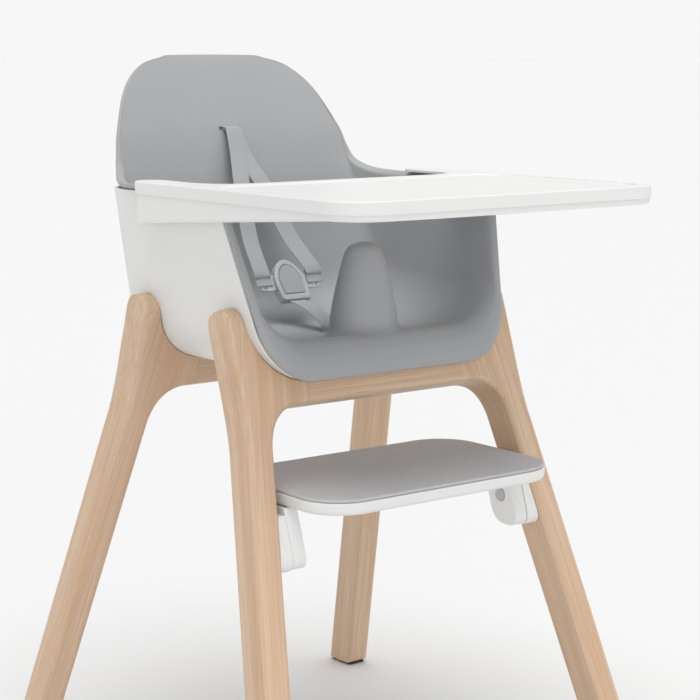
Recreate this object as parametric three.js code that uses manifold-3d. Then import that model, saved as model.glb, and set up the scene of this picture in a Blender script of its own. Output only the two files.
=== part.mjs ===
// Baby high chair: two leaning beech arch frames carry a moulded seat tub with a soft liner, a three-strap
// harness, a slide-on tray, and a footrest that flips over between a high and a low position.
// Millimetres, +Z up. The child faces -Y. Dimensions are taken from the floor, midway between the four feet.
// The finished model is then moved so that its origin is under the middle of its overall length.
import * as THREE from "three";
import { mergeVertices } from "three/addons/utils/BufferGeometryUtils.js";
import Module from "manifold-3d";

const wasm = await Module();
wasm.setup();

// ---------------------------------------------------------------- driving dimensions
const GAP = 0.3; // running gap between pieces that touch

// Beech frames: a front and a rear arch, mirror images, leaning towards each other.
const LEAN = 18.2; // degrees each arch leans inwards
const BAR_Y = 118.4; // crossbar's centre line, below the tub
const FRAME_THICK = 48; // arch thickness, square to its plane
const LEG_WIDTH = 35; // leg width across the chair
const LEG_SPLAY = 8.52; // degrees each leg leans inwards, seen from the front
const LEG_SPREAD = 53.3; // leg centre line at the floor, outside the horn's outer face
const HORN_THICK = 20.7; // horn beside the tub, at its top
const HORN_TOP = 612;
const HORN_ROUND = 20; // round on top of the horn, seen from the side
const BAR_BOTTOM = 495; // underside of the crossbar, on the arch's centre plane
const ARCH_FILLET = 42; // between crossbar and leg
const BAR_SHOULDER = 94.5; // glue line between crossbar and leg, inside the horn's outer face
const TENON_LENGTH = 11;
const TENON_THICK = 16;
const EDGE_ROUND = 5; // softened wood edges
const GLIDE_THICK = 3;
const GLIDE_INSET = 3; // glide edge inside the leg's edge

// Moulded outer tub: an open-fronted bucket that sits in the arches.
const TUB_WALL = 3.5;
const TUB_BOTTOM = 527.5;
const TUB_CORNER = 78; // bottom corner radius, seen from the front
const TUB_CORNER_X = 113; // centre of that corner
const TUB_FLARE = 8.3; // degrees the side walls open upwards
const TUB_TOP = 741.5;
const TUB_REAR = 187; // outside of the rear wall
const TUB_PLAN_R = 66; // rear corners, seen from above
const FRAME_FIT = 0.4; // tub to wood

// Soft moulded liner.
const LINER_THICK = 6;
const SEAT_Z = 562; // lowest point of the seat surface
const LIP_Y = -157; // front lip edge on the centre line
const LIP_Z = TUB_BOTTOM + 2.5; // lower edge of the front rim
const RIM_RAKE = 16.4; // degrees the front rim leans back
const RIM_SEAT = 2.5; // underside of the armrest above the tub's top edge
const RIM_CLEAR = 1.5; // liner rim to tub edge
const RIM_LAP = 2; // armrest beyond the tub's side
const BACK_TOP = 905;
const POST_TOP = 680; // crotch post
const POST_Y = -93;
const POST_HALF = 46; // half width at its foot
const SLOT_Z = 809; // harness slot in the back
const CROTCH_SLOT_Y = -25;
const ARMREST_Z = TUB_TOP + RIM_SEAT + LINER_THICK;

// Seat bolts.
const BOLT_R = 3;
const BOLT_HOLE_R = 3.4;
const BOLT_HEAD_R = 6;
const BOLT_HEAD_H = 4;
const BOLT_X = 60;
const NUT_R = 6.5;
const NUT_H = 6;

// Tray.
const TRAY_DEPTH = 22; // rim height at the front
const TRAY_FRONT = -374;
const TRAY_REAR = 73; // rear end of the arms
const TRAY_OVERHANG = 20.6; // front of the tray beyond the armrest's edge, each side
const TRAY_WAIST = 5; // arms narrower than the front, each side
const TRAY_CORNER = 52;
const TRAY_BAY_Y = -58; // edge of the tray in front of the child
const TRAY_ARM_LAP = 25.4; // inner edge of the arms inside the armrest's edge
const TRAY_SKIN = 4;
const TRAY_TOP = ARMREST_Z + TRAY_SKIN + 1; // the tray slides on the armrests
const TRAY_WELL = 2; // depth of the dished top
const TRAY_RIM = 17; // width of the raised rim round the dish
const SKIRT_CLEAR = 2.6; // armrest's edge to the inside face of the arm skirts
const SKIRT_DROP = 52; // arm depth at the rear end
const SKIRT_FRONT = -330; // where the side skirts come up to the front's depth
const LATCH_TRAVEL = 6;
const LATCH_LENGTH = 9;
const LATCH_POCKET = 9.4; // pocket depth in the skirt
const LATCH_WIDE = 20;
const LATCH_THICK = 5;
const LATCH_Y = 10;
const LEVER_TRAVEL = 8;

// Footrest.
const PIVOT_Z = 355.5;
const PIVOT_BEHIND = 3.6; // pivot behind the leg's centre plane
const REST_CLEAR = 7.7; // footrest's edge to the leg
const REST_AHEAD = 95.5; // footrest's front edge from the pivot
const REST_BEHIND = 125.5;
const REST_CORNER = 55;
const REST_TOP = PIVOT_Z + 54.5; // the surface is this far above the pivot, and as far below it when flipped
const PAD_THICK = 4;
const BASE_THICK = 15;
const ARM_THICK = 19; // moving half of each bracket
const MOUNT_THICK = 14.2; // fixed half of each bracket, at the pivot
const BRACKET_WIDE = 46;
const BRACKET_DROP = 37; // from the pivot to the bracket's lower end
const PIVOT_R = 6;
const PIVOT_FIT = 0.05;
const BUTTON_R = 8;
const BUTTON_TRAVEL = 3;
const BUTTON_DEEP = 9;
const BUTTON_PROUD = 1.5;

// Harness.
const WEB_WIDE = 25; // crotch strap
const SHOULDER_WIDE = 25; // shoulder straps
const WEB_THICK = 1.6;
const SLOT_SPARE = 5; // slot beyond each edge of its strap
const BUCKLE_CENTRE = new THREE.Vector3(0, 64, SEAT_Z + 55);
const BUCKLE_TILT = 56; // degrees the buckle's face leans back from level
const BUCKLE_LONG = 58;
const BUCKLE_HALF = 25;
const BUCKLE_THICK = 12;

// ---------------------------------------------------------------- materials
const plastic = (color, roughness) => new THREE.MeshStandardMaterial({ color, roughness, metalness: 0 });
const beech = new THREE.MeshStandardMaterial({ color: 0xd4b9a4, roughness: 0.55, metalness: 0 });
const white = plastic(0xf4f4f3, 0.35);
const grey = plastic(0xabacae, 0.6);
const midGrey = plastic(0x969799, 0.5);
const padGrey = plastic(0x9d9c9a, 0.7);
const webGrey = plastic(0xa3a4a5, 0.9);
const darkGrey = plastic(0x4a4b4d, 0.7);
const steel = new THREE.MeshStandardMaterial({ color: 0xc4c6c8, roughness: 0.3, metalness: 1 });

// ---------------------------------------------------------------- solids
const rad = THREE.MathUtils.degToRad;
const V = (x, y, z) => new THREE.Vector3(x, y, z);
// Turns an outline drawn in y and z, and extruded, so that it runs across the chair.
const acrossChair = new THREE.Matrix4().makeBasis(V(0, 1, 0), V(0, 0, 1), V(1, 0, 0));

// A closed geometry as a manifold solid.
function solid(geometry) {
  const bare = geometry.index ? geometry.toNonIndexed() : geometry.clone();
  bare.deleteAttribute("normal");
  bare.deleteAttribute("uv");
  const merged = mergeVertices(bare, 1e-4);
  return new wasm.Manifold(
    new wasm.Mesh({
      numProp: 3,
      vertProperties: merged.attributes.position.array,
      triVerts: new Uint32Array(merged.index.array),
    }),
  );
}

// A manifold solid as flat-shaded geometry.
function geometryOf(manifold) {
  const mesh = manifold.getMesh();
  const positions = new Float32Array(mesh.numVert * 3);
  for (let i = 0; i < mesh.numVert; i++)
    positions.set(mesh.vertProperties.subarray(i * mesh.numProp, i * mesh.numProp + 3), i * 3);
  const indexed = new THREE.BufferGeometry();
  indexed.setAttribute("position", new THREE.BufferAttribute(positions, 3));
  indexed.setIndex(new THREE.BufferAttribute(mesh.triVerts, 1));
  const flat = indexed.toNonIndexed();
  flat.computeVertexNormals();
  return flat;
}

// A closed solid through equal rings of points, each end closed by a fan to its middle.
function loft(rings) {
  const count = rings[0].length;
  const middle = (ring) => ring.reduce((sum, p) => sum.add(p), V(0, 0, 0)).divideScalar(count);
  const points = [...rings.flat(), middle(rings[0]), middle(rings.at(-1))];
  const first = rings.length * count;
  const index = [];
  for (let k = 0; k < count; k++) {
    const next = (k + 1) % count;
    for (let r = 0; r + 1 < rings.length; r++) {
      const a = r * count + k;
      const b = r * count + next;
      index.push(a, b, b + count, a, b + count, a + count);
    }
    const top = (rings.length - 1) * count;
    index.push(first, next, k);
    index.push(first + 1, top + k, top + next);
  }
  return meshOf(points, index);
}

// A closed geometry from points and triangles, turned right way out.
function meshOf(points, index) {
  const geometry = new THREE.BufferGeometry().setFromPoints(points);
  let volume = 0;
  for (let i = 0; i < index.length; i += 3) {
    const [a, b, c] = [points[index[i]], points[index[i + 1]], points[index[i + 2]]];
    volume += a.dot(b.clone().cross(c));
  }
  geometry.setIndex(volume < 0 ? index.toReversed() : index);
  return geometry.toNonIndexed();
}

// A sheet with thickness: the grid's points, and the same grid moved by the thickness along its normals.
function thickSheet(grid, thickness) {
  const rows = grid.length;
  const cols = grid[0].length;
  const at = (i, j) => grid[Math.min(Math.max(i, 0), rows - 1)][Math.min(Math.max(j, 0), cols - 1)];
  const points = grid.flat();
  for (let i = 0; i < rows; i++)
    for (let j = 0; j < cols; j++) {
      const along = at(i + 1, j).clone().sub(at(i - 1, j));
      const across = at(i, j + 1).clone().sub(at(i, j - 1));
      points.push(at(i, j).clone().addScaledVector(along.cross(across).normalize(), thickness));
    }
  const id = (i, j, side) => side * rows * cols + i * cols + j;
  const index = [];
  const quad = (a, b, c, d) => index.push(a, b, c, a, c, d);
  for (let i = 0; i + 1 < rows; i++)
    for (let j = 0; j + 1 < cols; j++) {
      quad(id(i, j, 0), id(i + 1, j, 0), id(i + 1, j + 1, 0), id(i, j + 1, 0));
      quad(id(i, j, 1), id(i, j + 1, 1), id(i + 1, j + 1, 1), id(i + 1, j, 1));
    }
  for (let i = 0; i + 1 < rows; i++) {
    quad(id(i, 0, 0), id(i, 0, 1), id(i + 1, 0, 1), id(i + 1, 0, 0));
    quad(id(i, cols - 1, 0), id(i + 1, cols - 1, 0), id(i + 1, cols - 1, 1), id(i, cols - 1, 1));
  }
  for (let j = 0; j + 1 < cols; j++) {
    quad(id(0, j, 0), id(0, j + 1, 0), id(0, j + 1, 1), id(0, j, 1));
    quad(id(rows - 1, j, 0), id(rows - 1, j, 1), id(rows - 1, j + 1, 1), id(rows - 1, j + 1, 0));
  }
  return meshOf(points, index);
}

// A flat outline raised from z0 to z1.
function plate(shape, z0, z1, curveSegments = 8) {
  return new THREE.ExtrudeGeometry(shape, { depth: z1 - z0, bevelEnabled: false, curveSegments })
    .translate(0, 0, z0);
}

function box(x0, x1, y0, y1, z0, z1) {
  const geometry = new THREE.BoxGeometry(x1 - x0, y1 - y0, z1 - z0);
  return geometry.translate((x0 + x1) / 2, (y0 + y1) / 2, (z0 + z1) / 2);
}

// A cylinder along X.
function rod(x0, x1, y, z, r, sides = 20) {
  return new THREE.CylinderGeometry(r, r, x1 - x0, sides).rotateZ(Math.PI / 2).translate((x0 + x1) / 2, y, z);
}

function upright(x, y, z0, z1, r, sides = 20) {
  return new THREE.CylinderGeometry(r, r, z1 - z0, sides).rotateX(Math.PI / 2).translate(x, y, (z0 + z1) / 2);
}

const minus = (geometry, ...cuts) =>
  geometryOf(cuts.reduce((left, cut) => left.subtract(solid(cut)), solid(geometry)));
const plus = (...geometries) => geometryOf(geometries.map(solid).reduce((a, b) => a.add(b)));

// A rectangle with round corners, centred on x = 0.
function roundedRectangle(half, y0, y1, r) {
  const s = new THREE.Shape();
  s.moveTo(-half + r, y0);
  s.absarc(half - r, y0 + r, r, -Math.PI / 2, 0);
  s.absarc(half - r, y1 - r, r, 0, Math.PI / 2);
  s.absarc(-half + r, y1 - r, r, Math.PI / 2, Math.PI);
  s.absarc(-half + r, y0 + r, r, Math.PI, 1.5 * Math.PI);
  return s;
}

const model = new THREE.Group();
function add(name, geometry, material, parent = model) {
  const mesh = new THREE.Mesh(geometry, material);
  mesh.name = name;
  parent.add(mesh);
  return mesh;
}

// ---------------------------------------------------------------- outer tub
const flare = Math.tan(rad(TUB_FLARE));
const cornerZ = TUB_BOTTOM + TUB_CORNER;
const FRONT_BEYOND = LIP_Y - 33; // where the tub's walls run to before the front is cut off

// One level contour of the tub's outside, moved out by offset; turn is the angle round the bottom corner,
// and lift is the height above the point where the corner meets the straight wall.
function tubRing(offset, turn, lift) {
  const r = TUB_CORNER + offset;
  const half = TUB_CORNER_X + r * Math.cos(turn) + lift * flare;
  const inset = r * (1 - Math.cos(turn));
  const z = cornerZ + r * Math.sin(turn) + lift;
  const rear = TUB_REAR + offset - inset;
  const corner = Math.max(TUB_PLAN_R + offset - inset, 6);
  const ring = [V(half, FRONT_BEYOND, z)];
  const steps = 7;
  for (const side of [1, -1])
    for (let k = 0; k <= steps; k++) {
      const a = (side > 0 ? k : steps - k) / steps * Math.PI / 2;
      ring.push(V(side * (half - corner + corner * Math.cos(a)), rear - corner + corner * Math.sin(a), z));
    }
  ring.push(V(-half, FRONT_BEYOND, z));
  return ring;
}

function tubSolid(offset, top) {
  const rings = [];
  const steps = 7;
  const tangent = -rad(TUB_FLARE);
  for (let k = 0; k <= steps; k++)
    rings.push(tubRing(offset, -Math.PI / 2 + (k / steps) * (Math.PI / 2 + tangent), 0));
  const wallStart = cornerZ + (TUB_CORNER + offset) * Math.sin(tangent);
  rings.push(tubRing(offset, tangent, top - wallStart));
  return loft(rings);
}

const rake = Math.tan(rad(RIM_RAKE));
const rimStandOff = (LINER_THICK + RIM_CLEAR) / Math.cos(rad(RIM_RAKE));
const tubFrontY = (z) => LIP_Y + rimStandOff + (z - LIP_Z) * rake;

// Everything in front of the tub's raked front edge.
function inFrontOfTub() {
  const side = new THREE.Shape();
  const low = TUB_BOTTOM - 20;
  const high = ARMREST_Z + 60;
  side.moveTo(tubFrontY(low), low);
  side.lineTo(tubFrontY(high), high);
  side.lineTo(FRONT_BEYOND - 20, high);
  side.lineTo(FRONT_BEYOND - 20, low);
  const geometry = new THREE.ExtrudeGeometry(side, { depth: 600, bevelEnabled: false });
  return geometry.translate(0, 0, -300).applyMatrix4(acrossChair);
}

const boltSpots = [
  ["front_left", -BOLT_X, -BAR_Y],
  ["front_right", BOLT_X, -BAR_Y],
  ["rear_left", -BOLT_X, BAR_Y],
  ["rear_right", BOLT_X, BAR_Y],
];
const boltHole = ([, x, y]) => upright(x, y, BAR_BOTTOM - 40, TUB_BOTTOM + 20, BOLT_HOLE_R, 12);
const boltHoles = boltSpots.map(boltHole);

const nutSeat = TUB_BOTTOM + TUB_WALL;
const nutRecesses = boltSpots.map(([, x, y]) => upright(x, y, nutSeat, nutSeat + 20, NUT_R + 1, 16));
const tubInside = tubSolid(-TUB_WALL, TUB_TOP + 30);
add("outer_tub", minus(tubSolid(0, TUB_TOP), tubInside, inFrontOfTub(), ...boltHoles, ...nutRecesses), white);

// ---------------------------------------------------------------- seat liner
// Stations along the seat, from the front lip's edge over the floor and up the back. p is the centre line and
// r the edge of the rim, as [y, z]. The wall stands inset from the armrest's edge, and curl is the rim's outward
// curl. ra and rb are the corner's half axes across and up, and turn is how far round it the section goes.
const wallFootX = TUB_CORNER_X + TUB_CORNER * Math.cos(rad(TUB_FLARE));
const wallFootZ = cornerZ - TUB_CORNER * Math.sin(rad(TUB_FLARE));
const tubHalf = (z) => wallFootX + (z - wallFootZ) * flare; // half width of the tub's straight sides
const rimEdge = tubHalf(ARMREST_Z) + RIM_LAP;
const lipTopY = LIP_Y + (ARMREST_Z - LIP_Z) * rake;
const backZ = (share) => ARMREST_Z + share * (BACK_TOP - ARMREST_Z);
const station = (p, r, inset, curl, ra, rb, turn = 90) => {
  return { p, r, wall: rimEdge - inset, curl, ra, rb, turn };
};
const stations = [
  station([LIP_Y, LIP_Z], [lipTopY, ARMREST_Z], 5, 5, 58, 66),
  station([LIP_Y, LIP_Z + 13], [lipTopY + 3, ARMREST_Z], 11, 11, 58, 62),
  station([LIP_Y + 8, LIP_Z + 31], [lipTopY + 9, ARMREST_Z], 15, 15, 62, 62),
  station([LIP_Y + 27, LIP_Z + 43], [lipTopY + 21, ARMREST_Z], 16, 16, 60, 60),
  station([-90, SEAT_Z + 4], [-45, ARMREST_Z], 16, 16, 60, 60),
  station([0, SEAT_Z], [10, ARMREST_Z], 16, 16, 60, 60),
  station([75, SEAT_Z + 5], [70, ARMREST_Z], 16, 16, 62, 62),
  station([125, SEAT_Z + 30], [112, ARMREST_Z], 16, 15, 66, 64),
  station([150, ARMREST_Z - 100], [146, ARMREST_Z + 4], 26, 12, 76, 60, 85),
  station([166, ARMREST_Z - 38], [168, backZ(0.1)], 36, 9, 92, 44, 75),
  station([179, backZ(0.06)], [178, backZ(0.22)], 38, 4, 110, 21, 65),
  station([194, backZ(0.36)], [188, backZ(0.39)], 43, 1.5, 120, 7, 50),
  station([217, backZ(0.71)], [212, backZ(0.716)], 67, 0.5, 110, 5, 45),
  station([232, backZ(0.92)], [229, backZ(0.91)], 100, 0.3, 90, 3, 45),
  station([239, BACK_TOP], [237, BACK_TOP - 1], 143, 0.2, 60, 2, 45),
];

// Catmull-Rom through the values that pick takes from the stations, at place t.
function along(t, pick) {
  const i = Math.min(Math.floor(t), stations.length - 2);
  const u = t - i;
  const value = (k) => {
    if (k < 0) return 2 * pick(stations[0]) - pick(stations[1]);
    if (k >= stations.length) return 2 * pick(stations.at(-1)) - pick(stations.at(-2));
    return pick(stations[k]);
  };
  const [a, b, c, d] = [value(i - 1), value(i), value(i + 1), value(i + 2)];
  return b + 0.5 * u * (c - a + u * (2 * a - 5 * b + 4 * c - d + u * (3 * (b - c) + d - a)));
}

// Half of one section as [across, up] pairs: floor, elliptical corner, straight wall, outward curl.
function sectionHalf(t) {
  const at = (pick) => along(t, pick);
  const dy = at((s) => s.r[0]) - at((s) => s.p[0]);
  const dz = at((s) => s.r[1]) - at((s) => s.p[1]);
  const height = Math.hypot(dy, dz);
  const wall = at((s) => s.wall);
  const curl = Math.max(at((s) => s.curl), 0.05);
  const curlRise = Math.min(curl * 0.6, height * 0.25) * (curl / (curl + 1)); // a thin rim stays flat
  const rb = Math.min(at((s) => s.rb), height - curlRise - 0.2);
  const turn = rad(at((s) => s.turn));
  const steepness = Math.sin(turn) ** 6;
  const foot = wall - (height - curlRise) * flare * steepness;
  const ra = at((s) => s.ra);
  const half = [];
  for (const k of [0, 0.5]) half.push([(foot - ra) * k, 0]);
  for (let k = 0; k <= 5; k++) {
    const a = (k / 5) * turn;
    const up = (rb * (1 - Math.cos(a))) / (1 - Math.cos(turn));
    half.push([foot - ra + (ra * Math.sin(a)) / Math.sin(turn) + up * flare * steepness, up]);
  }
  half.push([(half.at(-1)[0] + wall) / 2, (rb + height - curlRise) / 2]);
  for (let k = 0; k <= 3; k++) {
    const a = (k / 3) * (Math.PI / 2);
    half.push([wall + curl * (1 - Math.cos(a)), height - curlRise + curlRise * Math.sin(a)]);
  }
  return { half, up: [dy / height, dz / height], base: [at((s) => s.p[0]), at((s) => s.p[1])] };
}

function linerGrid() {
  const rows = [];
  const perStation = 2;
  for (let k = 0; k <= (stations.length - 1) * perStation; k++) {
    const { half, up, base } = sectionHalf(k / perStation);
    const place = (side) => ([x, b]) => V(side * x, base[0] + b * up[0], base[1] + b * up[1]);
    rows.push([...half.slice(1).reverse().map(place(-1)), ...half.map(place(1))]);
  }
  return rows;
}

// Crotch post: rounded sections that shrink towards a domed top.
function crotchPost() {
  const levels = [
    [SEAT_Z - 14, 1],
    [SEAT_Z + 13, 0.98],
    [SEAT_Z + 46, 0.87],
    [POST_TOP - 35, 0.7],
    [POST_TOP - 12, 0.54],
    [POST_TOP - 3, 0.35],
    [POST_TOP, 0.11],
  ].map(([z, share]) => [z, share * POST_HALF, share * POST_HALF * 0.72]);
  const sides = 20;
  return loft(
    levels.map(([z, halfX, halfY]) =>
      Array.from({ length: sides }, (_, k) => {
        const a = (2 * Math.PI * (k + 0.5)) / sides;
        return V(halfX * Math.cos(a), POST_Y + halfY * Math.sin(a), z);
      }),
    ),
  );
}

// The child-side face of the back on the centre line, at height z.
function backFace(z) {
  const pick = (axis) => (q) => q.p[axis];
  let t = 7;
  while (t < stations.length - 1 && along(t, pick(1)) < z) t += 0.02;
  return along(t, pick(0));
}
const slotFace = backFace(SLOT_Z);
const webSlot = WEB_WIDE / 2 + SLOT_SPARE;
const harnessSlot = box(-webSlot, webSlot, slotFace - 30, slotFace + 40, SLOT_Z - 2.2, SLOT_Z + 2.6);
const crotchSlot = box(-webSlot, webSlot, CROTCH_SLOT_Y - 3, CROTCH_SLOT_Y + 3, SEAT_Z - 22, SEAT_Z + 18);
add(
  "seat_liner",
  geometryOf(
    solid(thickSheet(linerGrid(), LINER_THICK))
      .add(solid(crotchPost()))
      .subtract(solid(harnessSlot))
      .subtract(solid(crotchSlot)),
  ),
  grey,
);

// ---------------------------------------------------------------- beech frames
const sinLean = Math.sin(rad(LEAN));
const cosLean = Math.cos(rad(LEAN));
// An arch's centre plane at the floor.
const FOOT_Y = BAR_Y + ((BAR_BOTTOM + TUB_BOTTOM) / 2) * Math.tan(rad(LEAN));
const HORN_X = tubHalf(HORN_TOP) + HORN_THICK;
const LEG_FOOT_X = HORN_X + LEG_SPREAD;
const BAR_SHOULDER_X = HORN_X - BAR_SHOULDER;
// From the arch's own plane (x across, s up the slope, d towards the front) to the chair.
const archPlane = new THREE.Matrix4()
  .makeBasis(V(1, 0, 0), V(0, sinLean, cosLean), V(0, -cosLean, sinLean))
  .setPosition(0, -FOOT_Y, 0);
const upSlope = (z) => z / cosLean;
const legCentre = (z) => LEG_FOOT_X - z * Math.tan(rad(LEG_SPLAY));
const legHalf = LEG_WIDTH / 2 / Math.cos(rad(LEG_SPLAY));

// Right half of the arch: outer edge up to the horn, across inside the tub's place, and down the inner edge.
function legOutline() {
  const outer = (z) => legCentre(z) + legHalf;
  const inner = (z) => legCentre(z) - legHalf;
  const bendStart = 440;
  const bendEnd = 520;
  const filletStart = BAR_BOTTOM - ARCH_FILLET;
  const s = new THREE.Shape();
  s.moveTo(inner(-30), upSlope(-30));
  s.lineTo(outer(-30), upSlope(-30));
  s.lineTo(outer(bendStart), upSlope(bendStart));
  s.quadraticCurveTo(HORN_X, upSlope(bendStart + 24), HORN_X, upSlope(bendEnd));
  s.lineTo(HORN_X, upSlope(HORN_TOP));
  s.lineTo(BAR_SHOULDER_X, upSlope(HORN_TOP));
  s.lineTo(BAR_SHOULDER_X, upSlope(BAR_BOTTOM));
  const cornerX = inner(BAR_BOTTOM);
  s.lineTo(cornerX - ARCH_FILLET, upSlope(BAR_BOTTOM));
  s.quadraticCurveTo(cornerX - 3, upSlope(BAR_BOTTOM), inner(filletStart), upSlope(filletStart));
  s.closePath();
  return s;
}

// The arch seen from the side: a board, a little wider than the wood, with a rounded top.
function hornRounding() {
  const reach = FRAME_THICK / 2 + 1.5;
  const low = upSlope(-60);
  const top = upSlope(HORN_TOP);
  const s = new THREE.Shape();
  s.moveTo(-reach, low);
  s.lineTo(reach, low);
  s.absarc(reach - HORN_ROUND, top - HORN_ROUND, HORN_ROUND, 0, Math.PI / 2);
  s.absarc(-reach + HORN_ROUND, top - HORN_ROUND, HORN_ROUND, Math.PI / 2, Math.PI);
  s.closePath();
  const geometry = new THREE.ExtrudeGeometry(s, { depth: 500, bevelEnabled: false, curveSegments: 5 });
  return geometry.applyMatrix4(new THREE.Matrix4().makeBasis(V(0, 0, 1), V(0, 1, 0), V(-1, 0, 0)))
    .translate(400, 0, 0)
    .applyMatrix4(archPlane);
}

function board(shape, thickness, round, curveSegments = 5) {
  return new THREE.ExtrudeGeometry(shape, {
    depth: thickness - 2 * round,
    bevelEnabled: round > 0,
    bevelThickness: round,
    bevelSize: round,
    bevelOffset: -round,
    bevelSegments: 1,
    curveSegments,
  })
    .translate(0, 0, -thickness / 2 + round)
    .applyMatrix4(archPlane);
}

const tubPlace = tubSolid(FRAME_FIT, ARMREST_Z + 50);

function tenon(fit) {
  const s = new THREE.Shape();
  const low = upSlope(BAR_BOTTOM) + 7 - fit;
  const high = upSlope(TUB_BOTTOM) - 9 + fit;
  const tip = BAR_SHOULDER_X + TENON_LENGTH + fit;
  s.moveTo(-tip, low);
  s.lineTo(tip, low);
  s.lineTo(tip, high);
  s.lineTo(-tip, high);
  return board(s, TENON_THICK + 2 * fit, 0);
}

function crossbar() {
  const s = new THREE.Shape();
  const end = BAR_SHOULDER_X - GAP;
  s.moveTo(-end, upSlope(BAR_BOTTOM));
  s.lineTo(end, upSlope(BAR_BOTTOM));
  s.lineTo(end, upSlope(TUB_BOTTOM + 30));
  s.lineTo(-end, upSlope(TUB_BOTTOM + 30));
  const bar = solid(board(s, FRAME_THICK, 0)).add(solid(tenon(0)));
  const recesses = boltSpots.map(([, x, y]) =>
    upright(x, y, BAR_BOTTOM - 60, BAR_BOTTOM + BOLT_HEAD_H + 6, BOLT_HEAD_R + 1.2, 16),
  );
  const cuts = [tubPlace, ...boltHoles, ...recesses];
  return geometryOf(cuts.reduce((left, cut) => left.subtract(solid(cut)), bar));
}

const legInner = (z) => legCentre(z) - legHalf;
const PIVOT_Y = -(FOOT_Y - PIVOT_Z * Math.tan(rad(LEAN))) + PIVOT_BEHIND;
const ARM_OUT = legInner(PIVOT_Z) - MOUNT_THICK; // outer face of the moving half of each bracket
const mountHole = rod(ARM_OUT - 30, ARM_OUT + 80, PIVOT_Y, PIVOT_Z, PIVOT_R + PIVOT_FIT, 24);
function leg(pivotHole) {
  let wood = solid(board(legOutline(), FRAME_THICK, EDGE_ROUND)).intersect(solid(hornRounding()));
  wood = wood.subtract(solid(tubPlace)).subtract(solid(tenon(GAP)));
  wood = wood.subtract(solid(box(-20, 400, -500, 0, -80, GLIDE_THICK + GAP)));
  return geometryOf(pivotHole ? wood.subtract(solid(mountHole)) : wood);
}

function glide() {
  const half = LEG_WIDTH / 2 - GLIDE_INSET;
  const deep = FRAME_THICK / 2 / cosLean - GLIDE_INSET;
  const shape = roundedRectangle(half, -deep, deep, 5);
  return plate(shape, 0, GLIDE_THICK, 4).translate(legCentre(GLIDE_THICK), -FOOT_Y + 1, 0);
}

const ends = [["front", 1], ["rear", -1]];
const sides = [["right", 1], ["left", -1]];
const frontLeg = leg(true);
const rearLeg = leg(false);
const crossbarShape = crossbar();
for (const [end, alongY] of ends) {
  add(`${end}_crossbar`, crossbarShape, beech).scale.y = alongY;
  for (const [side, acrossX] of sides) {
    add(`${end}_leg_${side}`, end === "front" ? frontLeg : rearLeg, beech).scale.set(acrossX, alongY, 1);
    add(`${end}_glide_${side}`, glide(), darkGrey).scale.set(acrossX, alongY, 1);
  }
}

// ---------------------------------------------------------------- seat bolts and nuts
const headTop = BAR_BOTTOM + BOLT_HEAD_H + 5.5;
for (const [spot, x, y] of boltSpots) {
  const nutBottom = nutSeat + GAP;
  const profile = [
    [0, headTop - BOLT_HEAD_H],
    [BOLT_HEAD_R, headTop - BOLT_HEAD_H],
    [BOLT_HEAD_R, headTop],
    [BOLT_R, headTop],
    [BOLT_R, nutBottom + NUT_H + 3],
    [0, nutBottom + NUT_H + 3],
  ].map(([r, z]) => new THREE.Vector2(r, z));
  const bolt = new THREE.LatheGeometry(profile, 16).rotateX(Math.PI / 2).translate(x, y, 0);
  add(`seat_bolt_${spot}`, bolt, steel);
  const nut = upright(x, y, nutBottom, nutBottom + NUT_H, NUT_R, 6);
  const thread = upright(x, y, nutBottom - 1, nutBottom + NUT_H + 1, BOLT_R + 0.1, 16);
  add(`seat_nut_${spot}`, minus(nut, thread), steel);
}

// ---------------------------------------------------------------- tray
const tray = new THREE.Group();
model.add(tray);
const TRAY_HALF = rimEdge + TRAY_OVERHANG; // half width at the front
const TRAY_BAY_HALF = rimEdge - TRAY_ARM_LAP; // half width between the arms
const SKIRT_IN = rimEdge + SKIRT_CLEAR; // inside face of the arm skirts
const BAY_CORNER = 60;

// Outline seen from above, drawn in by inset: a wide front, and two arms that run back over the armrests.
function trayOutline(inset, bayInset = inset) {
  const front = TRAY_FRONT + inset;
  const half = TRAY_HALF - inset;
  const corner = TRAY_CORNER - inset;
  const bayY = TRAY_BAY_Y - bayInset;
  const bayHalf = TRAY_BAY_HALF + bayInset;
  const rear = TRAY_REAR - inset;
  const waist = half - TRAY_WAIST;
  const end = (waist - bayHalf) / 2;
  const s = new THREE.Shape();
  s.moveTo(-half + corner, front);
  s.absarc(half - corner, front + corner, corner, -Math.PI / 2, 0);
  s.lineTo(waist, -100);
  s.lineTo(waist, rear - end);
  s.absarc(waist - end, rear - end, end, 0, Math.PI);
  s.lineTo(bayHalf, bayY + BAY_CORNER);
  s.quadraticCurveTo(bayHalf, bayY, bayHalf - BAY_CORNER, bayY);
  s.lineTo(-bayHalf + BAY_CORNER, bayY);
  s.quadraticCurveTo(-bayHalf, bayY, -bayHalf, bayY + BAY_CORNER);
  s.lineTo(-bayHalf, rear - end);
  s.absarc(-waist + end, rear - end, end, 0, Math.PI);
  s.lineTo(-waist, -100);
  s.lineTo(-half, front + corner);
  s.absarc(-half + corner, front + corner, corner, Math.PI, 1.5 * Math.PI);
  return s;
}

const dishFront = TRAY_FRONT + TRAY_RIM;
const dish = roundedRectangle(TRAY_HALF - TRAY_RIM, dishFront, TRAY_BAY_Y - TRAY_RIM, TRAY_CORNER - 12);
const trayPlate = plate(trayOutline(0), TRAY_TOP - TRAY_SKIN, TRAY_TOP);
add("tray_top", minus(trayPlate, plate(dish, TRAY_TOP - TRAY_WELL, TRAY_TOP + 5)), white, tray);

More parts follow.
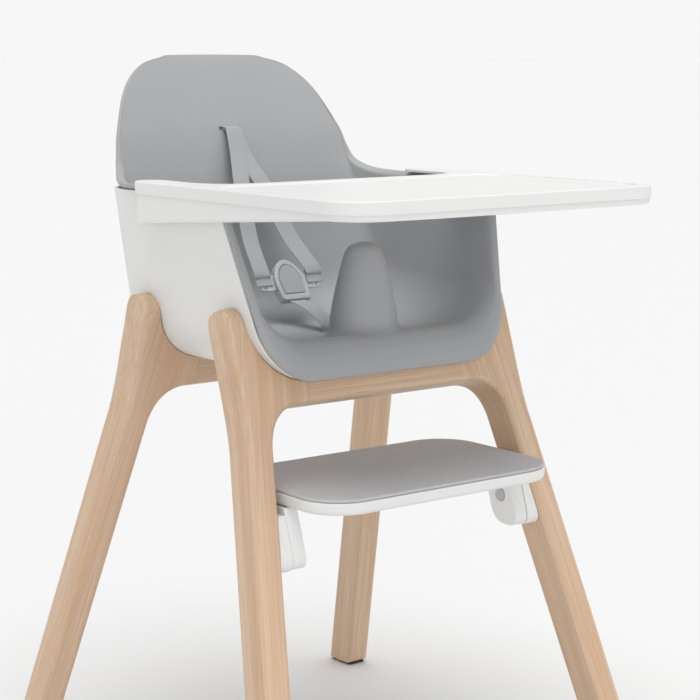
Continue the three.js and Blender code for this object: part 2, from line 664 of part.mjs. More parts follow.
// Under-shell: a hollow front pan and a skirt down the outside of each arm, deeper towards the rear.
const skirtTop = TRAY_TOP - TRAY_SKIN - GAP;
const panBottom = TRAY_TOP - TRAY_DEPTH;
const panRear = lipTopY - 6;
const latchZ = TUB_TOP - 6;
const leverWindow = { half: 42, y0: TRAY_FRONT + 22, y1: TRAY_FRONT + 62 };
function trayShell() {
  const low = TRAY_TOP - SKIRT_DROP;
  let shell = solid(plate(trayOutline(1.5), low, skirtTop));
  // keep the pan in front of the seat, and the strips outside the armrests behind it
  const seatRoom = box(-SKIRT_IN, SKIRT_IN, panRear, 300, low - 5, skirtTop + 5);
  shell = shell.subtract(solid(seatRoom));
  // sloping underside: pan depth at the front, full depth at the rear end of the arms
  const slope = new THREE.Shape();
  slope.moveTo(-500, low - 20);
  slope.lineTo(300, low - 20);
  slope.lineTo(300, low);
  slope.lineTo(TRAY_REAR, low);
  slope.lineTo(SKIRT_FRONT, panBottom);
  slope.lineTo(-500, panBottom);
  const under = new THREE.ExtrudeGeometry(slope, { depth: 600, bevelEnabled: false })
    .translate(0, 0, -300)
    .applyMatrix4(acrossChair);
  shell = shell.subtract(solid(under));
  // between the side skirts the pan keeps the front's depth
  shell = shell.subtract(solid(box(-SKIRT_IN, SKIRT_IN, TRAY_FRONT - 20, panRear + 1, low - 5, panBottom)));
  // hollow inside of the pan, open at the top and closed by the tray top
  const hollow = roundedRectangle(TRAY_HALF - 9, TRAY_FRONT + 7, panRear - 4, TRAY_CORNER - 7);
  shell = shell.subtract(solid(plate(hollow, panBottom + 3, skirtTop + 5)));
  const { half, y0, y1 } = leverWindow;
  shell = shell.subtract(solid(box(-half, half, y0, y1, panBottom - 5, panBottom + 5)));
  for (const side of [1, -1]) {
    const inner = side * (SKIRT_IN - 1);
    const outer = side * (SKIRT_IN + LATCH_POCKET);
    const pocket = box(
      Math.min(inner, outer), Math.max(inner, outer),
      LATCH_Y - LATCH_WIDE / 2 - GAP, LATCH_Y + LATCH_WIDE / 2 + GAP,
      latchZ - LATCH_THICK / 2 - GAP, latchZ + LATCH_THICK / 2 + GAP,
    );
    shell = shell.subtract(solid(pocket));
  }
  return geometryOf(shell);
}
add("tray_underside", trayShell(), white, tray);

// Release lever under the front edge, and the two latches that it draws out from below the armrests.
const leverHalf = leverWindow.half - 3;
const leverGrip = leverWindow.y0 + LEVER_TRAVEL + 6;
const lever = plus(
  box(-leverHalf, leverHalf, leverGrip, leverGrip + 16, panBottom - 4, panBottom + 4),
  box(-leverHalf, leverHalf, leverGrip - 2, leverWindow.y1 + 6, panBottom + 4, panBottom + 7),
);
add("tray_release_lever", lever, midGrey, tray);
for (const [side, s] of sides) {
  const outer = SKIRT_IN + LATCH_POCKET - GAP - LATCH_TRAVEL;
  const latch = box(
    outer - LATCH_LENGTH, outer,
    LATCH_Y - LATCH_WIDE / 2, LATCH_Y + LATCH_WIDE / 2,
    latchZ - LATCH_THICK / 2, latchZ + LATCH_THICK / 2,
  );
  add(`tray_latch_${side}`, latch, midGrey, tray).scale.x = s;
}

// ---------------------------------------------------------------- footrest
const footrest = new THREE.Group();
model.add(footrest);
const REST_HALF = legInner(REST_TOP) - REST_CLEAR;
const REST_FRONT = PIVOT_Y - REST_AHEAD;
const REST_REAR = PIVOT_Y + REST_BEHIND;
const restOutline = (inset) =>
  roundedRectangle(REST_HALF - inset, REST_FRONT + inset, REST_REAR - inset, REST_CORNER - inset);
add("footrest_pad", plate(restOutline(1.5), REST_TOP - PAD_THICK, REST_TOP), padGrey, footrest);
const baseTop = REST_TOP - PAD_THICK - GAP;
const baseBottom = baseTop - BASE_THICK;
const baseGeometry = new THREE.ExtrudeGeometry(restOutline(6), {
  depth: BASE_THICK - 6,
  bevelEnabled: true,
  bevelThickness: 6,
  bevelSize: 6,
  bevelSegments: 2,
  curveSegments: 7,
}).translate(0, 0, baseBottom + 6);
const baseTrim = box(-REST_HALF - 5, REST_HALF + 5, REST_FRONT - 5, REST_REAR + 5, baseTop, baseTop + 20);
add("footrest_base", minus(baseGeometry, baseTrim), white, footrest);

// Bracket outline seen from the side: a tab with a round lower end, following the leg's lean.
function bracketOutline(top, grow = 0) {
  const half = BRACKET_WIDE / 2 + grow;
  const shear = Math.tan(rad(LEAN));
  const round = half - 3;
  const low = PIVOT_Z - BRACKET_DROP - grow;
  const at = (y, z) => [PIVOT_Y + y + (z - PIVOT_Z) * shear, z];
  const s = new THREE.Shape();
  s.moveTo(...at(-half, top));
  s.lineTo(...at(-half, low + round));
  s.quadraticCurveTo(...at(-half, low), ...at(-half + round, low));
  s.lineTo(...at(half - round, low));
  s.quadraticCurveTo(...at(half, low), ...at(half, low + round));
  s.lineTo(...at(half, top));
  s.closePath();
  return s;
}
const tab = (shape, x0, x1) =>
  new THREE.ExtrudeGeometry(shape, { depth: x1 - x0, bevelEnabled: false, curveSegments: 6 })
    .translate(0, 0, x0)
    .applyMatrix4(acrossChair);

const armIn = ARM_OUT - ARM_THICK;
const mountIn = ARM_OUT + GAP * 2;
const pinStart = armIn + BUTTON_DEEP + BUTTON_TRAVEL + 1;

// Wedge of space outside the leg's inner face, which trims the fixed half of the bracket to the leg.
function legInnerFace() {
  const s = new THREE.Shape();
  const face = (z) => legInner(z) - GAP;
  const low = PIVOT_Z - 100;
  const high = PIVOT_Z + 100;
  s.moveTo(face(low), upSlope(low));
  s.lineTo(face(high), upSlope(high));
  s.lineTo(LEG_FOOT_X + 150, upSlope(high));
  s.lineTo(LEG_FOOT_X + 150, upSlope(low));
  return board(s, 200, 0);
}

const pinHole = (fit) => rod(pinStart - 1, LEG_FOOT_X, PIVOT_Y, PIVOT_Z, PIVOT_R + fit, 24);
const buttonHole = rod(armIn - 5, pinStart - 0.5, PIVOT_Y, PIVOT_Z, BUTTON_R + 0.2, 24);
for (const [side, s] of sides) {
  const arm = minus(tab(bracketOutline(baseBottom - GAP), armIn, ARM_OUT), pinHole(PIVOT_FIT), buttonHole);
  add(`footrest_arm_${side}`, arm, white, footrest).scale.x = s;
  const mount = minus(
    tab(bracketOutline(baseBottom - 8, 1), mountIn, legCentre(PIVOT_Z - 60)),
    legInnerFace(),
    pinHole(0.2),
  );
  add(`footrest_mount_${side}`, mount, white).scale.x = s;
  const pinEnd = legCentre(PIVOT_Z) + 6;
  add(`footrest_pivot_${side}`, rod(pinStart, pinEnd, PIVOT_Y, PIVOT_Z, PIVOT_R, 24), steel).scale.x = s;
  const button = rod(armIn - BUTTON_PROUD, armIn + BUTTON_DEEP, PIVOT_Y, PIVOT_Z, BUTTON_R, 24);
  add(`footrest_button_${side}`, button, midGrey, footrest).scale.x = s;
}

// ---------------------------------------------------------------- harness
// A flat strap along a path: each stop gives the middle, and the strap lies across the given side vector.
function strap(stops, width) {
  const rings = stops.map(([centre, across], k) => {
    const before = stops[Math.max(k - 1, 0)][0];
    const after = stops[Math.min(k + 1, stops.length - 1)][0];
    const run = after.clone().sub(before).normalize();
    const side = across.clone().addScaledVector(run, -across.dot(run)).normalize();
    const out = run.clone().cross(side);
    const corner = (a, b) =>
      centre.clone().addScaledVector(side, (a * width) / 2).addScaledVector(out, (b * WEB_THICK) / 2);
    return [corner(-1, -1), corner(1, -1), corner(1, 1), corner(-1, 1)];
  });
  return loft(rings);
}

// The buckle's own axes: along it towards the crotch strap, across it, and out of its face.
const tilt = rad(BUCKLE_TILT);
const buckleDown = V(0, -Math.cos(tilt), -Math.sin(tilt));
const buckleOut = V(0, -Math.sin(tilt), Math.cos(tilt));
const buckleFrame = new THREE.Matrix4()
  .makeBasis(V(-1, 0, 0), buckleDown, buckleOut)
  .setPosition(BUCKLE_CENTRE);
const onBuckle = (x, y, z) => V(x, y, z).applyMatrix4(buckleFrame);

// Arch outline in the buckle's plane: square at the strap end, round at the other.
function archOutline(half, tip, foot) {
  const s = new THREE.Shape();
  s.moveTo(-half * 0.86, foot);
  s.lineTo(half * 0.86, foot);
  s.quadraticCurveTo(half * 1.05, 0, half * 0.86, tip + half * 0.8);
  s.quadraticCurveTo(half * 0.5, tip, 0, tip);
  s.quadraticCurveTo(-half * 0.5, tip, -half * 0.86, tip + half * 0.8);
  s.quadraticCurveTo(-half * 1.05, 0, -half * 0.86, foot);
  return s;
}
const buckleHalfLong = BUCKLE_LONG / 2;
const buckleShape = archOutline(BUCKLE_HALF, -buckleHalfLong, buckleHalfLong);
const pressShape = archOutline(BUCKLE_HALF - 7.5, -buckleHalfLong + 8, buckleHalfLong - 9);
const pressWell = archOutline(BUCKLE_HALF - 7, -buckleHalfLong + 7.5, buckleHalfLong - 8.5);
const TONGUE_THICK = 2;
const wellFloor = 1.5;
const tongueSlot = new THREE.BoxGeometry(80, 24, TONGUE_THICK + 2 * GAP + 0.2);
const body = minus(
  plate(buckleShape, -BUCKLE_THICK / 2, BUCKLE_THICK / 2, 5),
  plate(pressWell, wellFloor, BUCKLE_THICK, 5),
  tongueSlot,
);
add("buckle_body", body.applyMatrix4(buckleFrame), midGrey);
const PRESS_TRAVEL = 2;
const press = plate(pressShape, wellFloor + PRESS_TRAVEL + 0.4, BUCKLE_THICK / 2, 5);
add("buckle_button", press.applyMatrix4(buckleFrame), grey);

// Tongues: thin plates that plug in from each side and widen into a wing with a slot for the strap.
const wingSlotX = BUCKLE_HALF + 12;
const wingMiddle = -4;
const wingSlotHalf = SHOULDER_WIDE / 2 + 0.5;
function tongue() {
  const outer = wingSlotHalf + 3.5;
  const s = new THREE.Shape();
  s.moveTo(2, -8);
  s.lineTo(BUCKLE_HALF + 3, -10);
  s.lineTo(wingSlotX - 3, wingMiddle - outer);
  s.lineTo(wingSlotX + 8, wingMiddle - outer);
  s.lineTo(wingSlotX + 9, wingMiddle + outer - 2);
  s.lineTo(wingSlotX - 3, wingMiddle + outer);
  s.lineTo(2, 9);
  s.closePath();
  const slot = new THREE.Path();
  slot.moveTo(wingSlotX, wingMiddle - wingSlotHalf);
  slot.lineTo(wingSlotX + 4.6, wingMiddle - wingSlotHalf);
  slot.lineTo(wingSlotX + 4.6, wingMiddle + wingSlotHalf);
  slot.lineTo(wingSlotX, wingMiddle + wingSlotHalf);
  slot.closePath();
  s.holes.push(slot);
  return plate(s, -TONGUE_THICK / 2, TONGUE_THICK / 2, 2).applyMatrix4(buckleFrame);
}
const tonguePlate = tongue();

const layerStep = WEB_THICK + 3 * GAP;
for (const [side, s] of sides) {
  add(`buckle_tongue_${side}`, tonguePlate, midGrey).scale.x = -s;
  const layer = side === "left" ? layerStep : 0; // the left strap lies on the right one at the slot
  const stops = [
    [V(0, slotFace + LINER_THICK + 12, SLOT_Z - 0.9 + layer), V(1, 0, 0)],
    [V(0, slotFace - 3 - layer * 0.6, SLOT_Z - 1.1 + layer), V(1, 0, 0)],
    [V(s * 1, slotFace - 9 - layer, SLOT_Z - 6 + layer * 0.5), V(1, 0, 0)],
    [V(s * 7, slotFace - 28 - layer, SLOT_Z - 40), V(1, 0, 0)],
    [V(s * 20, 140 - layer, SEAT_Z + 167), V(1, 0, s * 0.1)],
    [V(s * 31, 106, SEAT_Z + 110), V(1, 0, s * 0.15)],
    [onBuckle(-s * (wingSlotX + 3), -6, 4), V(1, 0, s * 0.1)],
  ];
  add(`shoulder_strap_${side}`, strap(stops, SHOULDER_WIDE), webGrey);
}

const crotchStops = [
  [onBuckle(0, buckleHalfLong + 1.2, -2.5), V(1, 0, 0)],
  [V(0, 15, SEAT_Z + 26), V(1, 0, 0)],
  [V(0, CROTCH_SLOT_Y + 7, SEAT_Z + 12), V(1, 0, 0)],
  [V(0, CROTCH_SLOT_Y, SEAT_Z + 1), V(1, 0, 0)],
  [V(0, CROTCH_SLOT_Y, SEAT_Z - 13), V(1, 0, 0)],
];
add("crotch_strap", strap(crotchStops, WEB_WIDE), webGrey);

// Anchor bars behind the slots keep the strap ends from pulling through.
const anchorTop = SEAT_Z - 13.5;
const anchorHalf = webSlot + 5;
const barFront = CROTCH_SLOT_Y - 5;
const crotchBar = box(-anchorHalf, anchorHalf, barFront, barFront + 10, anchorTop - 5.5, anchorTop);
add("crotch_anchor", crotchBar, steel);
const anchorY = slotFace + LINER_THICK + 12.6;
add("shoulder_anchor", box(-anchorHalf, anchorHalf, anchorY, anchorY + 4, SLOT_Z - 8, SLOT_Z + 8), steel);

// The rear legs reach furthest back where they stand, and the tray furthest forward.
const rearReach = FOOT_Y - (GLIDE_THICK + GAP) * Math.tan(rad(LEAN)) + FRAME_THICK / 2 / cosLean;
model.position.y = -(TRAY_FRONT + rearReach) / 2;
const chair = new THREE.Group();
chair.add(model);

export default chair;
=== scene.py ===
"""Looks of a baby high chair: beech arch frames, moulded tub, soft liner, harness, footrest and tray."""

import math

import bmesh
import bpy
import numpy as np
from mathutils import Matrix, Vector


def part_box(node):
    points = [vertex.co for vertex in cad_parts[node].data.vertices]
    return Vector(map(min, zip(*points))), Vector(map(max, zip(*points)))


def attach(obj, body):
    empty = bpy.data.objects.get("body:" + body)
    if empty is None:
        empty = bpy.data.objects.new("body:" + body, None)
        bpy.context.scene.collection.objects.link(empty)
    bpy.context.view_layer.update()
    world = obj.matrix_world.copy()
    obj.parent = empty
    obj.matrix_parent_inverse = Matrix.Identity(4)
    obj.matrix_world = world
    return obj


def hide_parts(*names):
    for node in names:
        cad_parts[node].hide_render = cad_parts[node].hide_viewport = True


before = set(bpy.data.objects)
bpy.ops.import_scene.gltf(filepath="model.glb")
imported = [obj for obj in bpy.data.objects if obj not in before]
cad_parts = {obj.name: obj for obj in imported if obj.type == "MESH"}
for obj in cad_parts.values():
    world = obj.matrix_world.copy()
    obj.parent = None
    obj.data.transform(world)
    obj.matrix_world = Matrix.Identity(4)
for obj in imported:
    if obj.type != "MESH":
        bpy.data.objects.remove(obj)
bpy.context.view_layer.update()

# ------------------------------------------------------------------ studio
# A pale floor that runs out of sight under an even white sky, a broad soft light nearly overhead, and a
# weaker one low in front. The camera stands above the tray's height and looks a little down.
front_foot, rear_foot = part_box("front_glide_right"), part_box("rear_glide_right")
MIDDLE_Y = (front_foot[0].y + rear_foot[1].y) / 2  # the plane midway between the front and rear feet
VIEW_TURN = 37.532
VIEW_DOWN = 8.84
VIEW_POINT = (-1.4051, -1.8951 + MIDDLE_Y, 0.9021)
SENSOR = 36.0
LENS = 96.83
FLOOR_HALF = 400.0
SKY_LOW = 0.93  # the sky at the horizon, and overhead
SKY_HIGH = 0.5
SKY_FADE = (0.02, 0.4)  # upward part of the view direction where the sky starts and ends its change


def linear(text):
    """The linear RGBA of an sRGB hex colour."""
    values = [int(text[i : i + 2], 16) / 255 for i in (1, 3, 5)]
    return [v / 12.92 if v <= 0.04045 else ((v + 0.055) / 1.055) ** 2.4 for v in values] + [1.0]


def node(tree, kind, settings=None, **inputs):
    """Adds a node: settings are its properties; an input is a value, or another node's output to link."""
    made = tree.nodes.new(kind)
    for name, value in (settings or {}).items():
        setattr(made, name, value)
    for name, value in inputs.items():
        socket = made.inputs[int(name[1:])] if name[1:].isdigit() else made.inputs[name.replace("_", " ")]
        if isinstance(value, bpy.types.NodeSocket):
            tree.links.new(value, socket)
        else:
            socket.default_value = value
    return made


def material(name):
    """A new material with an empty tree, its Principled shader and the tree."""
    made = bpy.data.materials.new(name)
    made.use_nodes = True
    tree = made.node_tree
    tree.nodes.clear()
    shader = tree.nodes.new("ShaderNodeBsdfPrincipled")
    node(tree, "ShaderNodeOutputMaterial", Surface=shader.outputs[0])
    return made, tree, shader


def floor_mesh():
    """A single square on the ground plane."""
    h = FLOOR_HALF
    mesh = bpy.data.meshes.new("floor")
    mesh.from_pydata([(-h, -h, 0), (h, -h, 0), (h, h, 0), (-h, h, 0)], [], [(0, 1, 2, 3)])
    return mesh


floor_paint, tree, shader = material("pale floor")
shader.inputs["Base Color"].default_value = linear("#e2e2e2")
shader.inputs["Roughness"].default_value = 0.9
shader.inputs["Specular IOR Level"].default_value = 0.1
studio_floor = bpy.data.objects.new("studio_floor", floor_mesh())
studio_floor.data.materials.append(floor_paint)
bpy.context.scene.collection.objects.link(studio_floor)

sky = bpy.data.worlds.new("sky")
sky.use_nodes = True
sky.node_tree.nodes.clear()
direction = node(sky.node_tree, "ShaderNodeTexCoord").outputs["Generated"]
height = node(sky.node_tree, "ShaderNodeSeparateXYZ", Vector=direction).outputs["Z"]
fade = node(sky.node_tree, "ShaderNodeMapRange", {"interpolation_type": "SMOOTHSTEP"}, _0=height,
            _1=SKY_FADE[0], _2=SKY_FADE[1], _3=SKY_LOW, _4=SKY_HIGH)
background = node(sky.node_tree, "ShaderNodeBackground", Color=(1, 1, 1, 1), Strength=fade.outputs[0])
node(sky.node_tree, "ShaderNodeOutputWorld", Surface=background.outputs[0])
bpy.context.scene.world = sky


def broad_light(name, power, spread, tilt, turn):
    """Even light from one side of the room: its power, the angle it spreads over, how far from overhead
    it stands and which way it lies."""
    lamp = bpy.data.lights.new(name, "SUN")
    lamp.energy = power
    lamp.angle = math.radians(spread)
    panel = bpy.data.objects.new(name, lamp)
    panel.rotation_euler = (math.radians(tilt), 0, math.radians(turn))
    bpy.context.scene.collection.objects.link(panel)


broad_light("overhead_panel", power=2.2, spread=50, tilt=12, turn=-25)
broad_light("front_fill", power=0.62, spread=60, tilt=86, turn=-20)

lens = bpy.data.cameras.new("camera")
lens.sensor_width = SENSOR
lens.lens = LENS
camera = bpy.data.objects.new("camera", lens)
camera.location = VIEW_POINT
camera.rotation_euler = (math.radians(90 - VIEW_DOWN), 0, math.radians(-VIEW_TURN))
bpy.context.scene.collection.objects.link(camera)
bpy.context.scene.camera = camera
bpy.context.scene.view_settings.view_transform = "Standard"

# ------------------------------------------------------------------ beech arch frames
# Each arch is three pieces of beech: two legs that run up into the horns beside the tub, and a crossbar
# glued between them. Cut from 48 mm board, edges rounded on a router, then sanded and clear lacquered.
LEAN = math.radians(18.2)
FOOT_Y = 286.5  # centre plane of an arch at the floor
BOARD_HALF = 24.0
LEG_HALF = 17.7
LEG_SPLAY = math.radians(8.52)
FOOT_X = 266.8
HORN_X = 213.5
HORN_TOP = 612.0
HORN_ROUND = 22.0
BAR_BOTTOM = 495.0
SHOULDER_X = 119.0
ARCH_FILLET = 42.0
TUB_CORNER = 78.0
TUB_CORNER_X = 113.0
TUB_BOTTOM = 527.5
TUB_FLARE = math.radians(8.3)
CONTACT = 0.5  # wood to tub
ROUTED = 7.0  # round on the open edges
EASED = 1.2  # round on the edges against the tub
FOOT_BAND = 20.0  # below this height an edge belongs to the level foot


def smooth_step(x):
    """0 below 0, 1 above 1, and 3x2 - 2x3 between."""
    x = np.clip(x, 0, 1)
    return x * x * (3 - 2 * x)


def arc(cx, cy, r, a0, a1, steps):
    """Points on a circle between two angles in degrees."""
    a = np.radians(np.linspace(a0, a1, steps + 1))
    return np.column_stack((cx + r * np.cos(a), cy + r * np.sin(a)))


def bend(p0, p1, p2, steps):
    """Points on the quadratic curve from p0 to p2 that p1 pulls."""
    t = np.linspace(0, 1, steps + 1)[:, None]
    return (1 - t) ** 2 * np.array(p0) + 2 * t * (1 - t) * np.array(p1) + t**2 * np.array(p2)


def inward(outline):
    """Mitred normals of a counter-clockwise outline: the sum of both edges' left normals over 1 plus
    their dot product."""
    edge = np.roll(outline, -1, 0) - outline
    edge /= np.linalg.norm(edge, axis=1)[:, None]
    left = np.column_stack((-edge[:, 1], edge[:, 0]))
    before = np.roll(left, 1, 0)
    return (left + before) / (1 + (left * before).sum(1))[:, None]


def ring_faces(rings, count):
    """Quads between neighbouring rings of a closed tube, count points to a ring, and a flat face over
    each end."""
    i = np.arange(count)
    j = (i + 1) % count
    start = np.arange(rings - 1)[:, None] * count
    quads = np.stack((start + i, start + j, start + count + j, start + count + i), axis=2).reshape(-1, 4)
    first, last = list(range(count))[::-1], list(range((rings - 1) * count, rings * count))
    return [first, *quads.tolist(), last]


def piece(name, points, faces, paint, body, replaces, slot, flip=False, sharp=35, attribute=None):
    """Makes a mesh of points, in millimetres from the floor midway between the feet, and adds it to the
    chair. attribute is the place of each point in the grain or weave of its material."""
    mesh = bpy.data.meshes.new(name)
    points = np.asarray(points, float) / 1000 + np.array((0, MIDDLE_Y, 0))
    mesh.from_pydata(points.tolist(), [], faces)
    if attribute is not None:
        layer = mesh.attributes.new("grain", "FLOAT_VECTOR", "POINT")
        layer.data.foreach_set("vector", (np.asarray(attribute, float) / 1000).astype(np.float32).ravel())
    if flip:
        mesh.flip_normals()
    mesh.shade_smooth()
    mesh.set_sharp_from_angle(angle=math.radians(sharp))
    mesh.materials.append(paint)
    made = bpy.data.objects.new(name, mesh)
    bpy.context.scene.collection.objects.link(made)
    weighted = made.modifiers.new("weighted", "WEIGHTED_NORMAL")
    weighted.keep_sharp = True
    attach(made, body)
    if replaces:
        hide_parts(*replaces)
    return made


def beech_wood():
    """Steamed beech under satin lacquer: pale pink-brown, with soft growth bands some 15 mm wide, fine
    fibres, and the short dark ray flecks, several times as long as wide, that mark beech. Reads the grain
    attribute, in which x and y lie across the fibres and z along them."""
    made, tree, shader = material("lacquered beech")
    grain = node(tree, "ShaderNodeAttribute", {"attribute_name": "grain"}).outputs["Vector"]
    wide = node(tree, "ShaderNodeMapping", Vector=grain, Scale=(60, 60, 2.2)).outputs[0]
    bands = node(tree, "ShaderNodeTexNoise", Vector=wide, Scale=1.0, Detail=4.0, Roughness=0.62).outputs[0]
    fine = node(tree, "ShaderNodeMapping", Vector=grain, Scale=(520, 520, 9)).outputs[0]
    fibres = node(tree, "ShaderNodeTexNoise", Vector=fine, Scale=1.0, Detail=4.0, Roughness=0.6).outputs[0]
    ray = node(tree, "ShaderNodeMapping", Vector=grain, Scale=(900, 900, 150)).outputs[0]
    flecks = node(tree, "ShaderNodeTexNoise", Vector=ray, Scale=1.0, Detail=1.0, Roughness=0.4).outputs[0]
    base = node(tree, "ShaderNodeValToRGB", Fac=bands)
    base.color_ramp.elements[0].position = 0.3
    base.color_ramp.elements[0].color = linear("#c9a583")
    base.color_ramp.elements[1].position = 0.72
    base.color_ramp.elements[1].color = linear("#dcc4ac")
    clamped, colours = {"clamp": True}, {"data_type": "RGBA"}
    dark_fibres = node(tree, "ShaderNodeMapRange", clamped, _0=fibres, _1=0.42, _2=0.7, _3=0.0, _4=0.75)
    toned = node(tree, "ShaderNodeMix", colours, _0=dark_fibres.outputs[0], _6=base.outputs[0],
                 _7=linear("#c29d7b"))
    dark_flecks = node(tree, "ShaderNodeMapRange", clamped, _0=flecks, _1=0.64, _2=0.74, _3=0.0, _4=0.4)
    spotted = node(tree, "ShaderNodeMix", colours, _0=dark_flecks.outputs[0], _6=toned.outputs[2],
                   _7=linear("#bf9a7b"))
    tree.links.new(spotted.outputs[2], shader.inputs["Base Color"])
    rough = node(tree, "ShaderNodeMapRange", _0=fibres, _1=0.3, _2=0.7, _3=0.38, _4=0.52)
    tree.links.new(rough.outputs[0], shader.inputs["Roughness"])
    bump = node(tree, "ShaderNodeBump", Strength=0.12, Distance=0.0002, Height=fibres)
    tree.links.new(bump.outputs[0], shader.inputs["Normal"])
    shader.inputs["Coat Weight"].default_value = 0.15
    shader.inputs["Coat Roughness"].default_value = 0.3
    return made


beech = beech_wood()


def on_slope(z):
    """Distance up the arch's centre plane to height z."""
    return z / math.cos(LEAN)


def leg_edge(z, side):
    """x of a leg's inner (-1) or outer (1) edge on its centre plane."""
    return FOOT_X - z * math.tan(LEG_SPLAY) + side * LEG_HALF


def tub_side(steps):
    """The wood's edge round the tub as [x, z]: from the flat bottom round the corner and up the wall."""
    r = TUB_CORNER + CONTACT
    corner_z = TUB_BOTTOM + TUB_CORNER
    turn = np.radians(np.linspace(-90, -math.degrees(TUB_FLARE), steps))
    corner = np.column_stack((TUB_CORNER_X + r * np.cos(turn), corner_z + r * np.sin(turn)))
    z = np.linspace(corner[-1, 1], HORN_TOP, 8)[1:]
    wall = np.column_stack((corner[-1, 0] + (z - corner[-1, 1]) * math.tan(TUB_FLARE), z))
    return np.concatenate((corner, wall))


def leg_points():
    """A leg's outline as [x, up the slope], counter-clockwise; which points lie against the tub; and
    which on the glue line."""
    floor_z = 3.3  # the leg stands on its glide
    tub = tub_side(22)
    tub = tub[tub[:, 0] > SHOULDER_X + 3]
    fillet_z = BAR_BOTTOM - ARCH_FILLET
    corner_x = leg_edge(BAR_BOTTOM, -1)
    round_r = 7.0
    outer = [
        arc(HORN_X - round_r, HORN_TOP - round_r, round_r, 90, 0, 5),
        bend((HORN_X, 520), (HORN_X, 464), (leg_edge(440, 1), 440), 10),
        [(leg_edge(floor_z, 1), floor_z)],
    ]
    inner = [
        [(leg_edge(floor_z, -1), floor_z)],
        bend((leg_edge(fillet_z, -1), fillet_z), (corner_x - 3, BAR_BOTTOM),
             (corner_x - ARCH_FILLET, BAR_BOTTOM), 14),
        [(SHOULDER_X, BAR_BOTTOM)],
    ]
    glue_top = [(SHOULDER_X, TUB_BOTTOM - CONTACT)]
    loop = np.concatenate([*inner, glue_top, tub, *outer])[::-1]
    start = sum(len(part) for part in inner)
    kind = np.zeros(len(loop), int)
    kind[start : start + 1 + len(tub)] = 1
    glue = np.zeros(len(loop), bool)
    glue[start - 1 : start + 1] = True
    loop[:, 1] = on_slope(loop[:, 1])
    return loop, kind[::-1] == 1, glue[::-1]


def bar_points():
    """The crossbar's outline as [x, up the slope]; its top meets the tub, and its ends the glue lines."""
    end = SHOULDER_X - 0.25
    top = TUB_BOTTOM - CONTACT
    loop = np.array([(-end, BAR_BOTTOM), (end, BAR_BOTTOM), (end, top), (-end, top)])
    loop[:, 1] = on_slope(loop[:, 1])
    return loop, np.array([False, False, True, True]), np.ones(4, bool)


def wood_board(loop, against_tub, glued):
    """The outline as a board, in nine rings from face to face. With r the edge's round, the ring at angle
    a is drawn in by r(1 - cos a) and lies r(1 - sin a) below the face. The middle ring is the outline
    itself, midway, so that a long edge is crowned by about half a millimetre. On the tub's side the edge
    at depth d lies d tan(lean) lower, and near the horn's top it moves in x instead."""
    normals = inward(loop)
    normals[glued] = np.column_stack((np.zeros(glued.sum()), np.sign(normals[glued, 1])))
    radius = np.where(against_tub, EASED, ROUTED)
    turn = np.radians(np.linspace(-90, 90, 9))[:, None]
    inset = radius * (1 - np.cos(turn))
    across = (loop + normals * inset[:, :, None]).reshape(-1, 2)
    depth = (np.sign(turn) * (BOARD_HALF - radius) + radius * np.sin(turn)).ravel()
    foot = across[:, 1] < on_slope(FOOT_BAND)  # the foot is cut level
    across[foot, 1] -= depth[foot] * math.tan(LEAN)
    touching = np.tile(against_tub, len(turn))
    straight, change = 20, 40  # millimetres below the horn's top
    low = smooth_step((on_slope(HORN_TOP) - straight - across[:, 1]) / change)
    across[:, 1] -= touching * low * depth * math.tan(LEAN)
    across[:, 0] += touching * (1 - low) * depth * math.sin(LEAN) * math.tan(TUB_FLARE)
    return np.column_stack((across, depth)), ring_faces(len(turn), len(loop))


def round_horn(points, faces):
    """Cuts the board across near its top and thins it there, so that the top is a half round: half
    thickness H - R + sqrt(R2 - h2), h being the height into the rounding."""
    top = on_slope(HORN_TOP)
    mesh = bmesh.new()
    verts = [mesh.verts.new(p) for p in points]
    for face in faces:
        mesh.faces.new([verts[i] for i in face])
    for share in (0, 0.2, 0.38, 0.54, 0.68, 0.79, 0.88, 0.95):
        cut = [*mesh.verts, *mesh.edges, *mesh.faces]
        level = (0, top - HORN_ROUND * (1 - share), 0)
        bmesh.ops.bisect_plane(mesh, geom=cut, plane_co=level, plane_no=(0, 1, 0), dist=1e-5)
    mesh.verts.index_update()
    points = np.array([v.co for v in mesh.verts])
    faces = [[v.index for v in f.verts] for f in mesh.faces]
    mesh.free()
    rise = np.clip(points[:, 1] - (top - HORN_ROUND), 0, HORN_ROUND * 0.9999)
    points[:, 2] *= (BOARD_HALF - HORN_ROUND + np.sqrt(HORN_ROUND**2 - rise**2)) / BOARD_HALF
    return points, faces


def in_chair(points, side, end):
    """From the arch's plane (x, up the slope, depth outwards) to its side and end of the chair."""
    x, up, depth = points.T
    y = -FOOT_Y + up * math.sin(LEAN) - depth * math.cos(LEAN)
    return np.column_stack((side * x, end * y, up * math.cos(LEAN) + depth * math.sin(LEAN)))


leg_shape = round_horn(*wood_board(*leg_points()))
bar_shape = wood_board(*bar_points())
ARCH_ENDS = (("front", 1), ("rear", -1))
SIDES = (("right", 1), ("left", -1))
